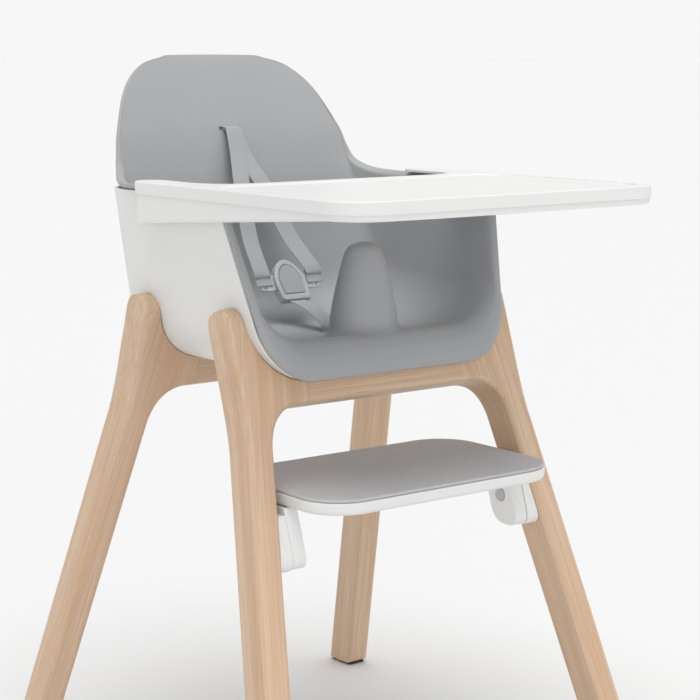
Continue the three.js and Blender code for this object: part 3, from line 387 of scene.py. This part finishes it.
# The added distances in fibre give each piece its own stretch of grain.
for e, (end_name, end) in enumerate(ARCH_ENDS):
    points, faces = bar_shape
    fibre = np.column_stack((points[:, 1] + 900 * e, points[:, 2] + 300, points[:, 0]))
    name = f"{end_name}_crossbar"
    world = in_chair(points, 1, end)
    piece(name + "_wood", world, faces, beech, "chair", [name], "beech", end < 0, 30, fibre)
    for s, (side_name, side) in enumerate(SIDES):
        points, faces = leg_shape
        along = points[:, 1] * math.cos(LEG_SPLAY) - points[:, 0] * math.sin(LEG_SPLAY)
        across = points[:, 0] * math.cos(LEG_SPLAY) + points[:, 1] * math.sin(LEG_SPLAY)
        fibre = np.column_stack((across + 700 * s + 400 * e, points[:, 2] + 500 * e, along + 900 * s))
        name = f"{end_name}_leg_{side_name}"
        world = in_chair(points, side, end)
        piece(name + "_wood", world, faces, beech, "chair", [name], "beech", side * end < 0, 30, fibre)

# ------------------------------------------------------------------ outer tub
# A white moulded polypropylene bucket, 3.5 mm thick, open at the front and top. One mould half pulls up
# out of it, hence the flared walls; the outside has a fine spark-eroded texture. It is bolted down
# through both crossbars.
TUB_WALL = 3.5
TUB_TOP = 741.5
TUB_REAR = 187.0
TUB_PLAN_R = 66.0
LIP_Y = -157.0
LIP_Z = 530.0
RIM_RAKE = math.radians(16.4)
RIM_STAND_OFF = 6.4  # the liner's flange, square to the raked edge


def moulded_white():
    """White moulded plastic: satin, with a fine grain 0.5 mm across and a faint, wide change of gloss."""
    made, tree, shader = material("moulded white")
    place = node(tree, "ShaderNodeTexCoord").outputs["Object"]
    grained = node(tree, "ShaderNodeTexNoise", Vector=place, Scale=1900, Detail=2, Roughness=0.55).outputs[0]
    wide = node(tree, "ShaderNodeTexNoise", Vector=place, Scale=9, Detail=2, Roughness=0.5).outputs[0]
    tone = node(tree, "ShaderNodeMix", {"data_type": "RGBA"}, _0=wide,
                _6=linear("#e4e4e3"), _7=linear("#e7e7e6"))
    tree.links.new(tone.outputs[2], shader.inputs["Base Color"])
    rough = node(tree, "ShaderNodeMapRange", _0=wide, _1=0.3, _2=0.7, _3=0.34, _4=0.44)
    tree.links.new(rough.outputs[0], shader.inputs["Roughness"])
    bump = node(tree, "ShaderNodeBump", Strength=0.25, Distance=0.00004, Height=grained)
    tree.links.new(bump.outputs[0], shader.inputs["Normal"])
    return made


white_plastic = moulded_white()


def grid_faces(rows, columns, skip=()):
    """Quads of a grid of points laid out row by row, leaving out the (row, column) cells in skip."""
    kept = np.ones((rows - 1, columns - 1), bool)
    for cell in skip:
        kept[cell] = False
    r, c = np.nonzero(kept)
    first = r * columns + c
    return np.column_stack((first, first + 1, first + columns + 1, first + columns)).tolist()


def tub_ring(turn, lift):
    """One level of the tub's outside, from the raked front edge down one side, round the rear and back.
    turn is the angle round the bottom corner, lift the height above the end of that corner."""
    r = TUB_CORNER
    half = TUB_CORNER_X + r * math.cos(turn) + lift * math.tan(TUB_FLARE)
    inset = r * (1 - math.cos(turn))
    z = TUB_BOTTOM + r + r * math.sin(turn) + lift
    rear = TUB_REAR - inset
    corner = max(TUB_PLAN_R - inset, 6)
    front = LIP_Y + RIM_STAND_OFF / math.cos(RIM_RAKE) + (z - LIP_Z) * math.tan(RIM_RAKE)
    side = np.column_stack((np.full(14, half), np.linspace(front, rear - corner, 15)[:-1]))
    bend_points = arc(half - corner, rear - corner, corner, 0, 90, 14)
    back = np.column_stack((np.linspace(half - corner, 0, 7)[1:], np.full(6, rear)))
    right = np.concatenate((side, bend_points, back))
    left = right[-2::-1] * (-1, 1)
    ring = np.concatenate((right, left))
    return np.column_stack((ring, np.full(len(ring), z)))


def shell(made, thickness, edge):
    """Gives an open surface its thickness on its hollow side, and rounds the edges."""
    solid = made.modifiers.new("thickness", "SOLIDIFY")
    solid.thickness = thickness / 1000
    solid.offset = -1
    solid.use_even_offset = True
    bevel = made.modifiers.new("rounded", "BEVEL")
    bevel.limit_method = "ANGLE"
    bevel.angle_limit = math.radians(50)
    bevel.width = edge / 1000
    bevel.segments = 3
    made.modifiers.move(0, 2)


corner_turns = np.linspace(-math.pi / 2, -TUB_FLARE, 18)
wall_foot = TUB_BOTTOM + TUB_CORNER - TUB_CORNER * math.sin(TUB_FLARE)
rings = [tub_ring(turn, 0) for turn in corner_turns]
rings += [tub_ring(-TUB_FLARE, lift) for lift in np.linspace(0, TUB_TOP - wall_foot, 9)[1:]]
count = len(rings[0])
faces = grid_faces(len(rings), count) + [tuple(range(count))[::-1]]
tub = piece("outer_tub_shell", np.concatenate(rings), faces, white_plastic, "chair", ["outer_tub"],
            "white_plastic", sharp=180)
shell(tub, TUB_WALL, edge=0.9)

# ------------------------------------------------------------------ seat liner
# A soft-touch grey moulding 6 mm thick: front lip, seat, leg channels, sides that curl out over the tub
# as armrests, and a tall rounded back. It drops into the tub, and the harness comes through a slot in the
# back and one in the seat.
LINER_THICK = 6.0
LINER_BULGE = 1.8  # how far the rounded edge stands out, and the same inside the slots
SLOT_BULGE = 0.4
SEAT_Z = 562.0
ARMREST_Z = 750.0
BACK_TOP = 905.0
RIM_LAP = 2.0
SLOT_Z = 809.0
SLOT_HALF = 17.5
CROTCH_SLOT_Y = -25.0


def soft_grey():
    """Soft-touch grey: matt, a velvety edge sheen, a fine grain 0.4 mm across and faint, wide mottling."""
    made, tree, shader = material("soft grey")
    place = node(tree, "ShaderNodeTexCoord").outputs["Object"]
    grained = node(tree, "ShaderNodeTexNoise", Vector=place, Scale=2300, Detail=3, Roughness=0.6).outputs[0]
    wide = node(tree, "ShaderNodeTexNoise", Vector=place, Scale=14, Detail=3, Roughness=0.5).outputs[0]
    tone = node(tree, "ShaderNodeMix", {"data_type": "RGBA"}, _0=wide,
                _6=linear("#a0a1a3"), _7=linear("#a4a5a7"))
    tree.links.new(tone.outputs[2], shader.inputs["Base Color"])
    rough = node(tree, "ShaderNodeMapRange", _0=grained, _1=0.3, _2=0.7, _3=0.52, _4=0.62)
    tree.links.new(rough.outputs[0], shader.inputs["Roughness"])
    bump = node(tree, "ShaderNodeBump", Strength=0.3, Distance=0.00005, Height=grained)
    tree.links.new(bump.outputs[0], shader.inputs["Normal"])
    shader.inputs["Sheen Weight"].default_value = 0.12
    shader.inputs["Sheen Roughness"].default_value = 0.4
    return made


grey_soft = soft_grey()


def tub_half(z):
    """Half width of the tub's straight sides at height z."""
    return TUB_CORNER_X + TUB_CORNER * math.cos(TUB_FLARE) + (z - wall_foot) * math.tan(TUB_FLARE)


RIM_EDGE = tub_half(ARMREST_Z) + RIM_LAP
LIP_TOP_Y = LIP_Y + (ARMREST_Z - LIP_Z) * math.tan(RIM_RAKE)


def back_z(share):
    """Height at a share of the way from the armrests to the top of the back."""
    return ARMREST_Z + share * (BACK_TOP - ARMREST_Z)


# Stations along the seat: y and z of its middle line, y and z of the rim, inset of the wall from the
# armrest's edge, curl of the rim, the corner's half axes across and up, and how far round it the section
# goes, in degrees.
liner_stations = np.array([
    (LIP_Y, LIP_Z, LIP_TOP_Y, ARMREST_Z, 5, 5, 58, 66, 90),
    (LIP_Y, LIP_Z + 13, LIP_TOP_Y + 3, ARMREST_Z, 11, 11, 58, 62, 90),
    (LIP_Y + 8, LIP_Z + 31, LIP_TOP_Y + 9, ARMREST_Z, 15, 15, 62, 62, 90),
    (LIP_Y + 27, LIP_Z + 43, LIP_TOP_Y + 21, ARMREST_Z, 16, 16, 60, 60, 90),
    (-90, SEAT_Z + 4, -45, ARMREST_Z, 16, 16, 60, 60, 90),
    (0, SEAT_Z, 10, ARMREST_Z, 16, 16, 60, 60, 90),
    (75, SEAT_Z + 5, 70, ARMREST_Z, 16, 16, 62, 62, 90),
    (125, SEAT_Z + 30, 112, ARMREST_Z, 16, 15, 66, 64, 90),
    (150, ARMREST_Z - 100, 146, ARMREST_Z + 4, 26, 12, 76, 60, 85),
    (166, ARMREST_Z - 38, 168, back_z(0.1), 36, 9, 92, 44, 75),
    (179, back_z(0.06), 178, back_z(0.22), 38, 4, 110, 21, 65),
    (194, back_z(0.36), 188, back_z(0.39), 43, 1.5, 120, 7, 50),
    (217, back_z(0.71), 212, back_z(0.716), 67, 0.5, 110, 5, 45),
    (232, back_z(0.92), 229, back_z(0.91), 100, 0.3, 90, 3, 45),
    (239, BACK_TOP, 237, BACK_TOP - 1, 143, 0.2, 60, 2, 45),
])


def spline(stations, t):
    """Catmull-Rom curve through the rows of stations at places t, counted in rows; the ends run on."""
    rows = np.concatenate(([2 * stations[0] - stations[1]], stations, [2 * stations[-1] - stations[-2]]))
    t = np.atleast_1d(t)
    i = np.clip(t.astype(int), 0, len(stations) - 2)
    u = (t - i)[:, None]
    a, b, c, d = (rows[i + k] for k in range(4))
    return b + 0.5 * u * (c - a + u * (2 * a - 5 * b + 4 * c - d + u * (3 * (b - c) + d - a)))


def liner_place(column, value, start):
    """Place along the seat, after a starting place, where the middle line reaches a value."""
    t = np.linspace(start, start + 5, 4001)
    found = spline(liner_stations, np.minimum(t, len(liner_stations) - 1))[:, column]
    return float(np.interp(value, found, t))


def liner_section(t):
    """The section at place t and its middle point's number. Each half is a flat floor, an elliptical
    corner, the flared wall, then a quarter ellipse outwards."""
    py, pz, ry, rz, inset, curl, ra, rb, turn = spline(liner_stations, t)[0]
    height = math.hypot(ry - py, rz - pz)
    wall = RIM_EDGE - inset
    curl = max(curl, 0.05)
    rise = min(curl * 0.6, height * 0.25) * curl / (curl + 1)
    rb = min(rb, height - rise - 0.2)
    turn = math.radians(turn)
    steep = math.sin(turn) ** 6 * math.tan(TUB_FLARE)
    foot = wall - (height - rise) * steep
    slot_edge = min(SLOT_HALF, 0.8 * (foot - ra))
    flat = np.concatenate(([0, slot_edge / 2], np.linspace(slot_edge, foot - ra, 7)[:-1]))
    a = np.linspace(0, turn, 17)
    up = rb * (1 - np.cos(a)) / (1 - math.cos(turn))
    corner = foot - ra + ra * np.sin(a) / math.sin(turn) + up * steep
    share = np.linspace(0, 1, 7)[1:-1]
    c = np.linspace(0, math.pi / 2, 9)
    flared = corner[-1] + (wall - corner[-1]) * share
    across = np.concatenate((flat, corner, flared, wall + curl * (1 - np.cos(c))))
    straight = rb + (height - rise - rb) * share
    above = np.concatenate((np.zeros(len(flat)), up, straight, height - rise + rise * np.sin(c)))
    y = py + above * (ry - py) / height
    z = pz + above * (rz - pz) / height
    right = np.column_stack((across, y, z))
    return np.concatenate((right[:0:-1] * (-1, 1, 1), right)), len(right) - 1


def back_normals(grid, curls):
    """Unit normals of the grid on the side away from the child. Where the rim hardly curls, a row's
    normals lean to its middle one, so that the moulding's edge stays square to the back."""
    across, along = np.gradient(grid, axis=1), np.gradient(grid, axis=0)
    normals = np.cross(along, across)
    normals /= np.linalg.norm(normals, axis=2)[:, :, None]
    centre = normals[:, normals.shape[1] // 2][:, None]
    share = smooth_step(curls / 10)[:, None, None]
    normals = share * normals + (1 - share) * centre
    return (normals / np.linalg.norm(normals, axis=2)[:, :, None]).reshape(-1, 3)


def thickened(points, faces, normals, thickness, bulge, steps=8):
    """Closes a surface of quads into a moulding: a second surface at the thickness along the normals, and
    round every free edge half an ellipse, whose axes are the thickness and, outwards, the bulge given for
    each point."""
    count = len(points)
    quads = np.array(faces)
    directed = set(zip(quads.ravel().tolist(), np.roll(quads, -1, axis=1).ravel().tolist()))
    free = np.array(sorted(edge for edge in directed if edge[::-1] not in directed))
    run = points[free[:, 1]] - points[free[:, 0]]
    run /= np.maximum(np.linalg.norm(run, axis=1), 1e-9)[:, None]
    side = np.cross(run, -normals[free[:, 0]])
    out = np.zeros((count, 3))
    np.add.at(out, free[:, 0], side)
    np.add.at(out, free[:, 1], side)
    rim, place = np.unique(free, return_inverse=True)
    place = place.reshape(free.shape)
    out = out[rim] / np.linalg.norm(out[rim], axis=1)[:, None]
    layers, lines = [points, points + normals * thickness], [free]
    for k in range(1, steps):
        a = math.pi * k / steps
        back = normals[rim] * thickness / 2 * (1 - math.cos(a))
        past = out * bulge[rim][:, None] * math.sin(a)
        layers.append(points[rim] + back + past)
        lines.append(2 * count + (k - 1) * len(rim) + place)
    lines.append(free + count)
    closed = faces + (quads[:, ::-1] + count).tolist()
    for near, far in zip(lines[:-1], lines[1:]):
        closed += np.column_stack((near[:, ::-1], far)).tolist()
    return np.concatenate(layers), closed


# Evenly spaced sections, and one at each edge of the two slots in place of any that lies close to it.
slot_low, slot_high = liner_place(1, SLOT_Z - 2.2, 9), liner_place(1, SLOT_Z + 2.6, 9)
hole_front, hole_rear = liner_place(0, CROTCH_SLOT_Y - 3, 3), liner_place(0, CROTCH_SLOT_Y + 3, 3)
places = np.linspace(0, len(liner_stations) - 1, 127)
cuts = [hole_front, hole_rear, slot_low, slot_high]
places = np.array([p for p in places if min(abs(p - cut) for cut in cuts) > 0.04])
places = np.sort(np.concatenate((places, cuts)))
sections = [liner_section(t) for t in places]
middle = sections[0][1]
columns = len(sections[0][0])
rows_cut = [r for a, b in ((hole_front, hole_rear), (slot_low, slot_high))
            for r in range(len(places) - 1) if places[r] >= a and places[r + 1] <= b]
skip = {(r, c) for r in rows_cut for c in range(middle - 2, middle + 2)}
faces = grid_faces(len(places), columns, skip)
grid = np.array([section for section, _ in sections])
bulge = np.full(grid.shape[:2], LINER_BULGE)
for r in rows_cut:
    bulge[r : r + 2, middle - 3 : middle + 4] = SLOT_BULGE
normals = back_normals(grid, spline(liner_stations, places)[:, 5])
points, faces = thickened(grid.reshape(-1, 3), faces, normals, LINER_THICK, bulge.ravel())
piece("seat_liner_moulding", points, faces, grey_soft, "chair", ["seat_liner"], "grey_soft", sharp=180)

# ------------------------------------------------------------------ crotch post
# Moulded in one with the seat, of the same soft grey: rounded sections shrink towards a domed top, and a
# quarter-round fillet runs out into the seat all round its foot.
POST_Y = -93.0
POST_TOP = 680.0
POST_HALF = 46.0
POST_DEEP = 0.72
POST_FILLET = 15.0
post_shares = np.array([  # share of the height, share of the half width
    (0, 1), (0.1, 0.985), (0.37, 0.87), (0.55, 0.77), (0.7, 0.68),
    (0.82, 0.6), (0.9, 0.525), (0.96, 0.4), (1, 0.14),
])


def seat_height(y):
    """Height of the seat's middle line at y."""
    run = spline(liner_stations, np.linspace(1, 6, 400))
    return np.interp(y, run[:, 0], run[:, 1])


def post_rings():
    """Fillet rings, out by F(1 - sin b) and up by F(1 - cos b) from the seat, then the body's rings."""
    a = np.linspace(0, 2 * math.pi, 65)[:-1]
    ring = np.column_stack((np.cos(a), np.sin(a)))
    oval = ring * (POST_HALF, POST_HALF * POST_DEEP)
    rings = []
    for b in np.radians(np.linspace(0, 90, 10)):
        plan = oval + ring * POST_FILLET * (1 - math.sin(b)) + (0, POST_Y)
        z = seat_height(plan[:, 1]) - 0.25 + POST_FILLET * (1 - math.cos(b))
        rings.append(np.column_stack((plan, z)))
    foot = rings[-1][:, 2]
    for share, width in spline(post_shares, np.linspace(0, len(post_shares) - 1, 41)[1:]):
        plan = oval * width + (0, POST_Y)
        rings.append(np.column_stack((plan, foot + (POST_TOP - foot) * share)))
    return rings


rings = post_rings()
points = np.concatenate([*rings, [(0, POST_Y, POST_TOP + 0.6)]])
around = len(rings[0])
faces = ring_faces(len(rings), around)
dome_ring = faces.pop()
faces += [(a, b, len(points) - 1) for a, b in zip(dome_ring, dome_ring[1:] + dome_ring[:1])]
piece("crotch_post", points, faces, grey_soft, "chair", ["seat_liner"], "grey_soft", sharp=80)


# ------------------------------------------------------------------ tray
# A white moulded tray top with a dished face, snapped over an under-shell whose arms reach back over the
# armrests, deeper towards the rear. A grey lever under the front edge draws out two latches that catch
# below the armrests.
def rounded_copy(name, paint, body, edge, segments=3, sharp=28, where=None):
    """A merged copy of the named piece, its sharp edges rounded off, standing in for it. where tells from
    the middle of an edge, in millimetres, whether to round it; without it every sharp edge is rounded."""
    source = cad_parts[name]
    work = bmesh.new()
    work.from_mesh(source.data)
    work.transform(source.matrix_world)
    bmesh.ops.remove_doubles(work, verts=work.verts, dist=0.00002)
    bmesh.ops.dissolve_limit(work, angle_limit=math.radians(1), verts=work.verts, edges=work.edges)
    weights = work.edges.layers.float.new("bevel_weight_edge")
    for edge_line in work.edges:
        turned = edge_line.calc_face_angle(0) > math.radians(sharp)
        chosen = where is None or where((edge_line.verts[0].co + edge_line.verts[1].co) * 500)
        edge_line[weights] = float(turned and chosen)
        edge_line.smooth = not turned
    mesh = bpy.data.meshes.new(name + "_finished")
    work.to_mesh(mesh)
    work.free()
    mesh.polygons.foreach_set("use_smooth", [True] * len(mesh.polygons))
    mesh.materials.clear()
    mesh.materials.append(paint)
    made = bpy.data.objects.new(name + "_finished", mesh)
    bpy.context.scene.collection.objects.link(made)
    bevel = made.modifiers.new("rounded", "BEVEL")
    bevel.limit_method = "WEIGHT"
    bevel.width = edge / 1000
    bevel.segments = segments
    bevel.use_clamp_overlap = False
    weighted = made.modifiers.new("weighted", "WEIGHTED_NORMAL")
    weighted.keep_sharp = True
    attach(made, body)
    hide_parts(name)
    return made


def plain_grey(name, colour, roughness, scale):
    """Grey moulded plastic: one colour with slight tonal drift, fine grain in its surface."""
    made, tree, shader = material(name)
    place = node(tree, "ShaderNodeTexCoord").outputs["Object"]
    grained = node(tree, "ShaderNodeTexNoise", Vector=place, Scale=scale, Detail=2, Roughness=0.5).outputs[0]
    tone = node(tree, "ShaderNodeHueSaturation", Color=linear(colour))
    value = node(tree, "ShaderNodeMapRange", _0=grained, _1=0.3, _2=0.7, _3=0.97, _4=1.03)
    tree.links.new(value.outputs[0], tone.inputs["Value"])
    tree.links.new(tone.outputs[0], shader.inputs["Base Color"])
    rough = node(tree, "ShaderNodeMapRange", _0=grained, _1=0.3, _2=0.7,
                 _3=roughness - 0.05, _4=roughness + 0.05)
    tree.links.new(rough.outputs[0], shader.inputs["Roughness"])
    bump = node(tree, "ShaderNodeBump", Strength=0.25, Distance=0.00005, Height=grained)
    tree.links.new(bump.outputs[0], shader.inputs["Normal"])
    return made


mid_grey = plain_grey("mid grey plastic", "#b4b5b7", 0.45, 1700.0)
TRAY_TOP = 755.0
TRAY_SKIN = 4.0
TRAY_FRONT = -374.0
TRAY_REAR = 73.0
TRAY_HALF = RIM_EDGE + 20.6
TRAY_WAIST = TRAY_HALF - 5
TRAY_CORNER = 52.0
TRAY_ARM_ROUND = 20.5
APRON_DROP = 11.0
APRON_THICK = 1.45
SKIRT_TOP = 740.0  # the under-shell's edges are rounded below this height
LEVER_HALF = 60.0  # and outside this half width


def tray_apron():
    """The outline from one arm's rear end round the front to the other, with the apron's section carried
    along it: flat outside, rounded at the lower edge."""
    end = TRAY_WAIST - TRAY_ARM_ROUND
    right = np.concatenate((
        arc(end, TRAY_REAR - TRAY_ARM_ROUND, TRAY_ARM_ROUND, 65, 0, 8),
        np.linspace((TRAY_WAIST, TRAY_REAR - TRAY_ARM_ROUND), (TRAY_WAIST, -100), 8)[1:],
        np.linspace((TRAY_WAIST, -100), (TRAY_HALF, TRAY_FRONT + TRAY_CORNER), 10)[1:],
        arc(TRAY_HALF - TRAY_CORNER, TRAY_FRONT + TRAY_CORNER, TRAY_CORNER, 0, -90, 8)[1:],
        [(0, TRAY_FRONT)],
    ))
    path = np.concatenate((right, right[-2::-1] * (-1, 1)))
    run = np.gradient(path, axis=0)
    run /= np.linalg.norm(run, axis=1)[:, None]
    inner = np.column_stack((run[:, 1], -run[:, 0]))
    top = TRAY_TOP - TRAY_SKIN
    low = arc(APRON_THICK / 2, top - APRON_DROP + APRON_THICK / 2, APRON_THICK / 2, 180, 360, 8)
    section = np.concatenate(([(0, top)], low, [(APRON_THICK, top)]))
    points = np.zeros((len(path), len(section), 3))
    points[:, :, :2] = path[:, None] + inner[:, None] * section[:, :1]
    points[:, :, 2] = section[:, 1]
    return points.reshape(-1, 3), ring_faces(len(path), len(section))


# The top's lower edges are hidden by the apron; of the under-shell only the arms' skirts are rounded.
rounded_copy("tray_top", white_plastic, "tray", 1.5, where=lambda p: p.z > TRAY_TOP - 3)
piece("tray_apron", *tray_apron(), white_plastic, "tray", ["tray_top"], "white_plastic", flip=True, sharp=40)
rounded_copy("tray_underside", white_plastic, "tray", 3.2, segments=4,
             where=lambda p: p.z < SKIRT_TOP and abs(p.x) > LEVER_HALF)
rounded_copy("tray_release_lever", mid_grey, "tray_release_lever", 0.8)
rounded_copy("tray_latch_left", mid_grey, "tray_latch_left", 0.6)
rounded_copy("tray_latch_right", mid_grey, "tray_latch_right", 0.6)

# ------------------------------------------------------------------ footrest
# A white base with a grey rubbery pad, carried by two white arms on steel pivots in brackets fixed to the
# front legs. It flips over between two heights; a grey button in each arm frees it.
rubber_pad = plain_grey("pad rubber", "#bebec0", 0.7, 1300.0)
rounded_copy("footrest_pad", rubber_pad, "footrest", 1.3)
rounded_copy("footrest_base", white_plastic, "footrest", 0.8, sharp=50)
for side_name, _ in SIDES:
    button = f"footrest_button_{side_name}"
    rounded_copy(f"footrest_arm_{side_name}", white_plastic, "footrest", 1.2)
    rounded_copy(f"footrest_mount_{side_name}", white_plastic, "chair", 1.0)
    rounded_copy(button, mid_grey, button, 0.8)


# ------------------------------------------------------------------ harness
# Flat woven polyester straps: two shoulder straps come through the slot in the back and part to the
# buckle's tongues, and a crotch strap rises from the seat to the buckle's lower end. Steel bars behind
# the slots hold their ends.
def webbing():
    """Woven strap: fine lengthwise ribs crossed by finer weft, in two greys, over a soft fuzzy sheen.
    Reads the grain attribute, in which x lies across the strap and y along it."""
    made, tree, shader = material("woven strap")
    weave = node(tree, "ShaderNodeAttribute", {"attribute_name": "grain"}).outputs["Vector"]
    wave = {"wave_type": "BANDS", "bands_direction": "X", "wave_profile": "SIN"}
    ribs = node(tree, "ShaderNodeTexWave", wave, Vector=weave, Scale=200.0).outputs["Fac"]
    cross = dict(wave, bands_direction="Y")
    weft = node(tree, "ShaderNodeTexWave", cross, Vector=weave, Scale=330.0, Distortion=0.6).outputs["Fac"]
    both = node(tree, "ShaderNodeMath", {"operation": "MULTIPLY"}, _0=ribs, _1=weft).outputs[0]
    tone = node(tree, "ShaderNodeMix", {"data_type": "RGBA"}, _0=both,
                _6=linear("#9a9b9d"), _7=linear("#bdbec0"))
    tree.links.new(tone.outputs[2], shader.inputs["Base Color"])
    shader.inputs["Roughness"].default_value = 0.85
    bump = node(tree, "ShaderNodeBump", Strength=0.6, Distance=0.0003, Height=both)
    tree.links.new(bump.outputs[0], shader.inputs["Normal"])
    shader.inputs["Sheen Weight"].default_value = 0.25
    shader.inputs["Sheen Roughness"].default_value = 0.5
    return made


strap_cloth = webbing()
BUCKLE_CENTRE = np.array((0, 64.0, SEAT_Z + 55))
BUCKLE_TILT = math.radians(56)
BUCKLE_HALF = 25.0
BUCKLE_HALF_LONG = 29.0
SHOULDER_WIDE = 25.0
WEB_WIDE = 25.0
WEB_THICK = 1.6


def on_buckle(x, y, z):
    """From the buckle's own axes (across, down it, out of its face) to the chair."""
    c, s = math.cos(BUCKLE_TILT), math.sin(BUCKLE_TILT)
    return BUCKLE_CENTRE + np.array((-x, -y * c - z * s, -y * s + z * c))


def strap(name, stops, width, cad):
    """A flat strap: a rounded oblong section carried along the curve through stops, each the strap's
    centre and the direction of its side."""
    stops = np.array([np.concatenate(stop) for stop in stops], float)
    path = spline(stops, np.linspace(0, len(stops) - 1, 16 * (len(stops) - 1) + 1))
    centre, side = path[:, :3], path[:, 3:]
    run = np.gradient(centre, axis=0)
    run /= np.linalg.norm(run, axis=1)[:, None]
    side = side - run * (side * run).sum(1)[:, None]
    side /= np.linalg.norm(side, axis=1)[:, None]
    out = np.cross(run, side)
    length = np.concatenate(([0], np.cumsum(np.linalg.norm(np.diff(centre, axis=0), axis=1))))
    e = WEB_THICK / 2
    flat = np.linspace(-width / 2 + e, width / 2 - e, 9)
    right = arc(width / 2 - e, 0, e, -90, 90, 6)[1:-1]
    left = arc(-width / 2 + e, 0, e, 90, 270, 6)[1:-1]
    lower, upper = np.column_stack((flat, np.full(9, -e))), np.column_stack((flat[::-1], np.full(9, e)))
    section = np.concatenate((lower, right, upper, left))
    points = centre[:, None] + side[:, None] * section[:, :1] + out[:, None] * section[:, 1:]
    weave = np.zeros(points.shape)
    weave[:, :, 0] = section[:, 0]
    weave[:, :, 1] = length[:, None]
    faces = ring_faces(len(path), len(section))
    piece(name, points.reshape(-1, 3), faces, strap_cloth, "chair", [cad], "webbing", sharp=60,
          attribute=weave.reshape(-1, 3))


slot_face = float(spline(liner_stations, liner_place(1, SLOT_Z, 9))[0, 0])
for side_name, s in SIDES:
    layer = 2.5 if side_name == "left" else 0.0  # the left strap lies over the right one in the slot
    stops = [
        ((0, slot_face + LINER_THICK + 12, SLOT_Z - 0.9 + layer), (1, 0, 0)),
        ((0, slot_face - 3 - layer * 0.6, SLOT_Z - 1.1 + layer), (1, 0, 0)),
        ((s, slot_face - 9 - layer, SLOT_Z - 6 + layer * 0.5), (1, 0, 0)),
        ((s * 7, slot_face - 28 - layer, SLOT_Z - 40), (1, 0, 0)),
        ((s * 20, 140 - layer, SEAT_Z + 167), (1, 0, s * 0.1)),
        ((s * 31, 106, SEAT_Z + 110), (1, 0, s * 0.15)),
        (on_buckle(-s * (BUCKLE_HALF + 15), -16, 5), (1, 0, s * 0.1)),
        (on_buckle(-s * (BUCKLE_HALF + 15), -4, 2.2), (1, 0, s * 0.05)),
        (on_buckle(-s * (BUCKLE_HALF + 15), 5, 2.0), (1, 0, 0)),
    ]
    strap(f"shoulder_webbing_{side_name}", stops, SHOULDER_WIDE, f"shoulder_strap_{side_name}")
    rounded_copy(f"buckle_tongue_{side_name}", mid_grey, "chair", 0.5)
crotch_stops = [
    (on_buckle(0, BUCKLE_HALF_LONG - 4, -2.5), (1, 0, 0)),
    ((0, 15, SEAT_Z + 26), (1, 0, 0)),
    ((0, CROTCH_SLOT_Y + 7, SEAT_Z + 12), (1, 0, 0)),
    ((0, CROTCH_SLOT_Y, SEAT_Z + 1), (1, 0, 0)),
    ((0, CROTCH_SLOT_Y, SEAT_Z - 13), (1, 0, 0)),
]
strap("crotch_webbing", crotch_stops, WEB_WIDE, "crotch_strap")
rounded_copy("buckle_body", mid_grey, "chair", 1.6)
rounded_copy("buckle_button", grey_soft, "buckle_button", 0.7)

# ------------------------------------------------------------------ fittings
# Zinc-plated steel bolts, nuts, pivots and strap anchors, and dark rubber glides under the feet.


def plated_steel():
    """Zinc-plated steel: bright grey metal whose tone and roughness drift over a few millimetres."""
    made, tree, shader = material("plated steel")
    place = node(tree, "ShaderNodeTexCoord").outputs["Object"]
    drift = node(tree, "ShaderNodeTexNoise", Vector=place, Scale=260, Detail=3, Roughness=0.6).outputs[0]
    rough = node(tree, "ShaderNodeMapRange", _0=drift, _1=0.3, _2=0.7, _3=0.22, _4=0.4)
    tree.links.new(rough.outputs[0], shader.inputs["Roughness"])
    tone = node(tree, "ShaderNodeMix", {"data_type": "RGBA"}, _0=drift,
                _6=linear("#b9bbbd"), _7=linear("#cdcfd1"))
    tree.links.new(tone.outputs[2], shader.inputs["Base Color"])
    shader.inputs["Metallic"].default_value = 1.0
    return made


steel = plated_steel()
glide_rubber = plain_grey("glide rubber", "#3f4042", 0.75, 1500.0)
for name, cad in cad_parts.items():
    if name.startswith(("seat_bolt", "seat_nut", "footrest_pivot", "crotch_anchor", "shoulder_anchor")):
        cad.data.materials.clear()
        cad.data.materials.append(steel)
for end_name, _ in ARCH_ENDS:
    for side_name, _ in SIDES:
        rounded_copy(f"{end_name}_glide_{side_name}", glide_rubber, "chair", 0.8)
